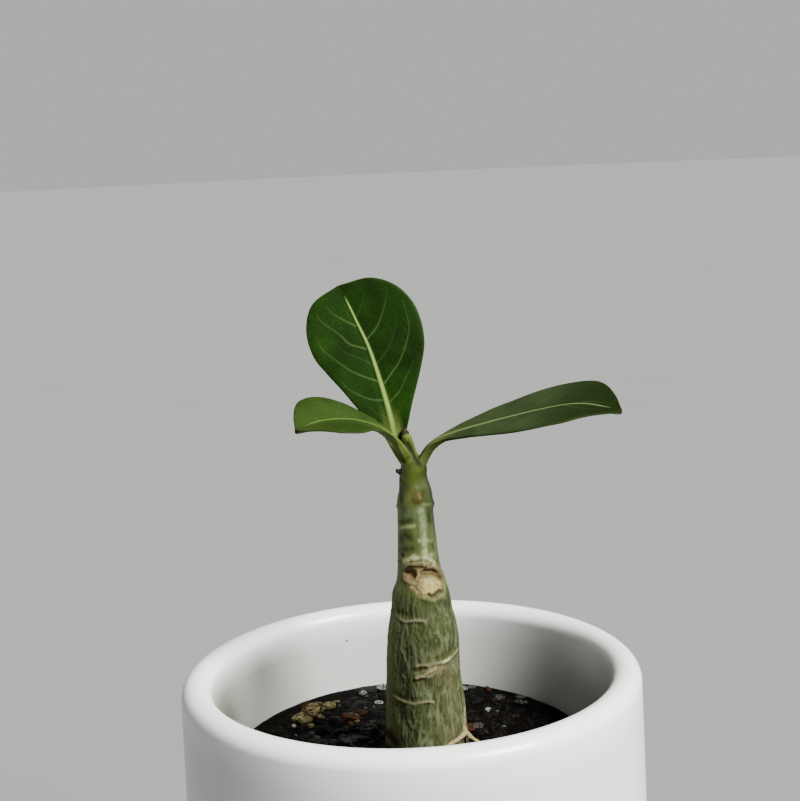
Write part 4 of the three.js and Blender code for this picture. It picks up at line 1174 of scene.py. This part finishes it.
def leaf_material(name, greens, roughness, gloss, rib_strength=1.0, outer_shade=0.0):
    """The finish of one leaf. Its greens: blade, deep and fresh, then midrib, veins, stalk and seat."""
    deep, fresh, rib_tone, vein_tone, stalk_tone, seat_tone = greens
    material, tree, shader = new_material(
        name, IOR=1.45, Roughness=roughness, Specular_IOR_Level=gloss,
        Subsurface_Weight=0.1, Subsurface_Radius=(0.5, 1.0, 0.2), Subsurface_Scale=0.6 * MM)
    cloudy = noise_texture(tree, 9.0, 3, 0.55)
    colour = blend_colours(tree, stretch(tree, cloudy, 0.35, 0.65), deep, fresh)
    place = add_node(tree, "ShaderNodeUVMap", {"uv_map": "flat_blade"}).outputs["UV"]
    net = add_node(tree, "ShaderNodeTexVoronoi", {"feature": "DISTANCE_TO_EDGE"},
                   {"Scale": NET_SCALE}, {"Vector": place})
    threads = stretch(tree, net.outputs["Distance"], 0.0, 0.08, 0.07, 0.0)
    under = blend_colours(tree, mask(tree, "midrib"), UNDER_BLADE, UNDER_RIB)
    under = blend_colours(tree, mask(tree, "vein"), under, UNDER_VEIN)
    # Each layer's share of the colour, and its tone
    layers = [
        (stretch(tree, mask(tree, "outer"), 0, 1, 0, outer_shade), SHADED_GREEN),
        (threads, vein_tone),
        (stretch(tree, mask(tree, "vein"), 0.05, 1, 0, 0.62), vein_tone),
        (stretch(tree, mask(tree, "midrib"), 0.2, 0.9, 0, rib_strength), rib_tone),
        (stretch(tree, mask(tree, "margin"), 0.3, 1, 0, 0.3), MARGIN_GREEN),
        (mask(tree, "underside"), under),
        (stretch(tree, mask(tree, "stalk"), 0, 1, 0, 0.9), stalk_tone),
        (mask(tree, "seat"), seat_tone),
        (mask(tree, "point"), DRY_POINT),
    ]
    for share, tone in layers:
        colour = blend_colours(tree, share, colour, tone)
    tree.links.new(colour, shader.inputs["Base Color"])
    dullness = stretch(tree, mask(tree, "underside"), 0, 1, roughness, UNDERSIDE_ROUGHNESS)
    tree.links.new(dullness, shader.inputs["Roughness"])
    bump(tree, shader, noise_texture(tree, 0.5, 2, 0.6), 0.03, 0.6)
    return material


dark_greens = ("#0E2002", "#153003", "#829A4C", "#4A6730", "#56632A", "#56632A")
# The left leaf is given lighter greens than the upright leaf.
lighter_greens = ("#1C2A0B", "#243510", "#4C6227", "#344A1B", "#4F5C27", "#2E3710")
# The level leaf's greens are greyed as a painted sheen; its own gloss is set low.
sheen_grey_greens = ("#27321B", "#303D22", "#677748", "#3C4C28", "#5C6A34", "#66743A")
dark_leaf = leaf_material("waxy_dark_leaf", dark_greens, 0.5, 0.1)
lighter_leaf = leaf_material("waxy_lighter_leaf", lighter_greens, 0.5, 0.08, 0.8)
level_leaf = leaf_material("waxy_level_leaf", sheen_grey_greens, 0.6, 0.03, 0.8, 0.93)

settle(make_leaf("leaf_upright", "upright_leaf", 3), dark_leaf, "leaf_dark", "leaf_upright")
settle(make_leaf("leaf_left", "left_leaf", 4), lighter_leaf, "leaf_light", "leaf_left")
settle(make_leaf("leaf_right", "right_leaf", 5), level_leaf, "leaf_dark", "leaf_right")

# %% [markdown]
# ## Floor and light
# A plain pale floor and a plain soft studio. The main light is one very broad lamp at the upper
# right, a little in front, so the left inner wall shines and the right one falls into shade. The
# surroundings are dim overhead and pale near the horizon, so the floor runs out into them softly.

# %% Floor
FLOOR_RADIUS, FLOOR_SIDES, FLOOR_GAP_BELOW = 6000, 96, 0.2
turns = np.linspace(0, 2 * np.pi, FLOOR_SIDES, endpoint=False)
level = np.full(FLOOR_SIDES, -RIM_HEIGHT - FLOOR_GAP_BELOW)
floor_edge = np.stack([FLOOR_RADIUS * np.cos(turns), FLOOR_RADIUS * np.sin(turns), level], -1)
floor = piece("floor", floor_edge, [list(range(FLOOR_SIDES))], soft=False)

matt_floor, tree, shader = new_material("matt_pale_floor", Roughness=0.95, Specular_IOR_Level=0.1)
pale = blend_colours(tree, noise_texture(tree, 120, 2), "#787877", "#7E7E7D")
tree.links.new(pale, shader.inputs["Base Color"])
floor.data.materials.append(matt_floor)

# %% Lights
SUN_TURN, SUN_HEIGHT, SUN_WIDTH = math.radians(54), math.radians(45), math.radians(26)
SUN_ENERGY, SKY_STRENGTH = 13.6, 0.75
# The sky is pale below the first height and dim above the second, as shares of straight up.
PALE_BELOW, DIM_ABOVE = 0.1, 0.35
sun_data = bpy.data.lights.new("broad_lamp", "SUN")
sun_data.energy, sun_data.angle, sun_data.color = SUN_ENERGY, SUN_WIDTH, linear("#FFFFFE")[:3]
sun = bpy.data.objects.new("broad_lamp", sun_data)
bpy.context.scene.collection.objects.link(sun)
level_share = math.cos(SUN_HEIGHT)
towards = Vector((math.sin(SUN_TURN) * level_share, -math.cos(SUN_TURN) * level_share,
                  math.sin(SUN_HEIGHT)))
sun.matrix_world = towards.to_track_quat("Z", "Y").to_matrix().to_4x4()

world = bpy.data.worlds.new("studio")
bpy.context.scene.world = world
world.use_nodes = True
tree = world.node_tree
direction = add_node(tree, "ShaderNodeTexCoord").outputs["Generated"]
rise = add_node(tree, "ShaderNodeSeparateXYZ", links={"Vector": direction}).outputs["Z"]
sky = blend_colours(tree, stretch(tree, rise, PALE_BELOW, DIM_ABOVE), "#D8D9DA", "#2E3032")
tree.links.new(sky, tree.nodes["Background"].inputs["Color"])
tree.nodes["Background"].inputs["Strength"].default_value = SKY_STRENGTH

counts = triangle_counts.values()
print("triangles in all:", sum(counts), "most in one piece:", max(counts))
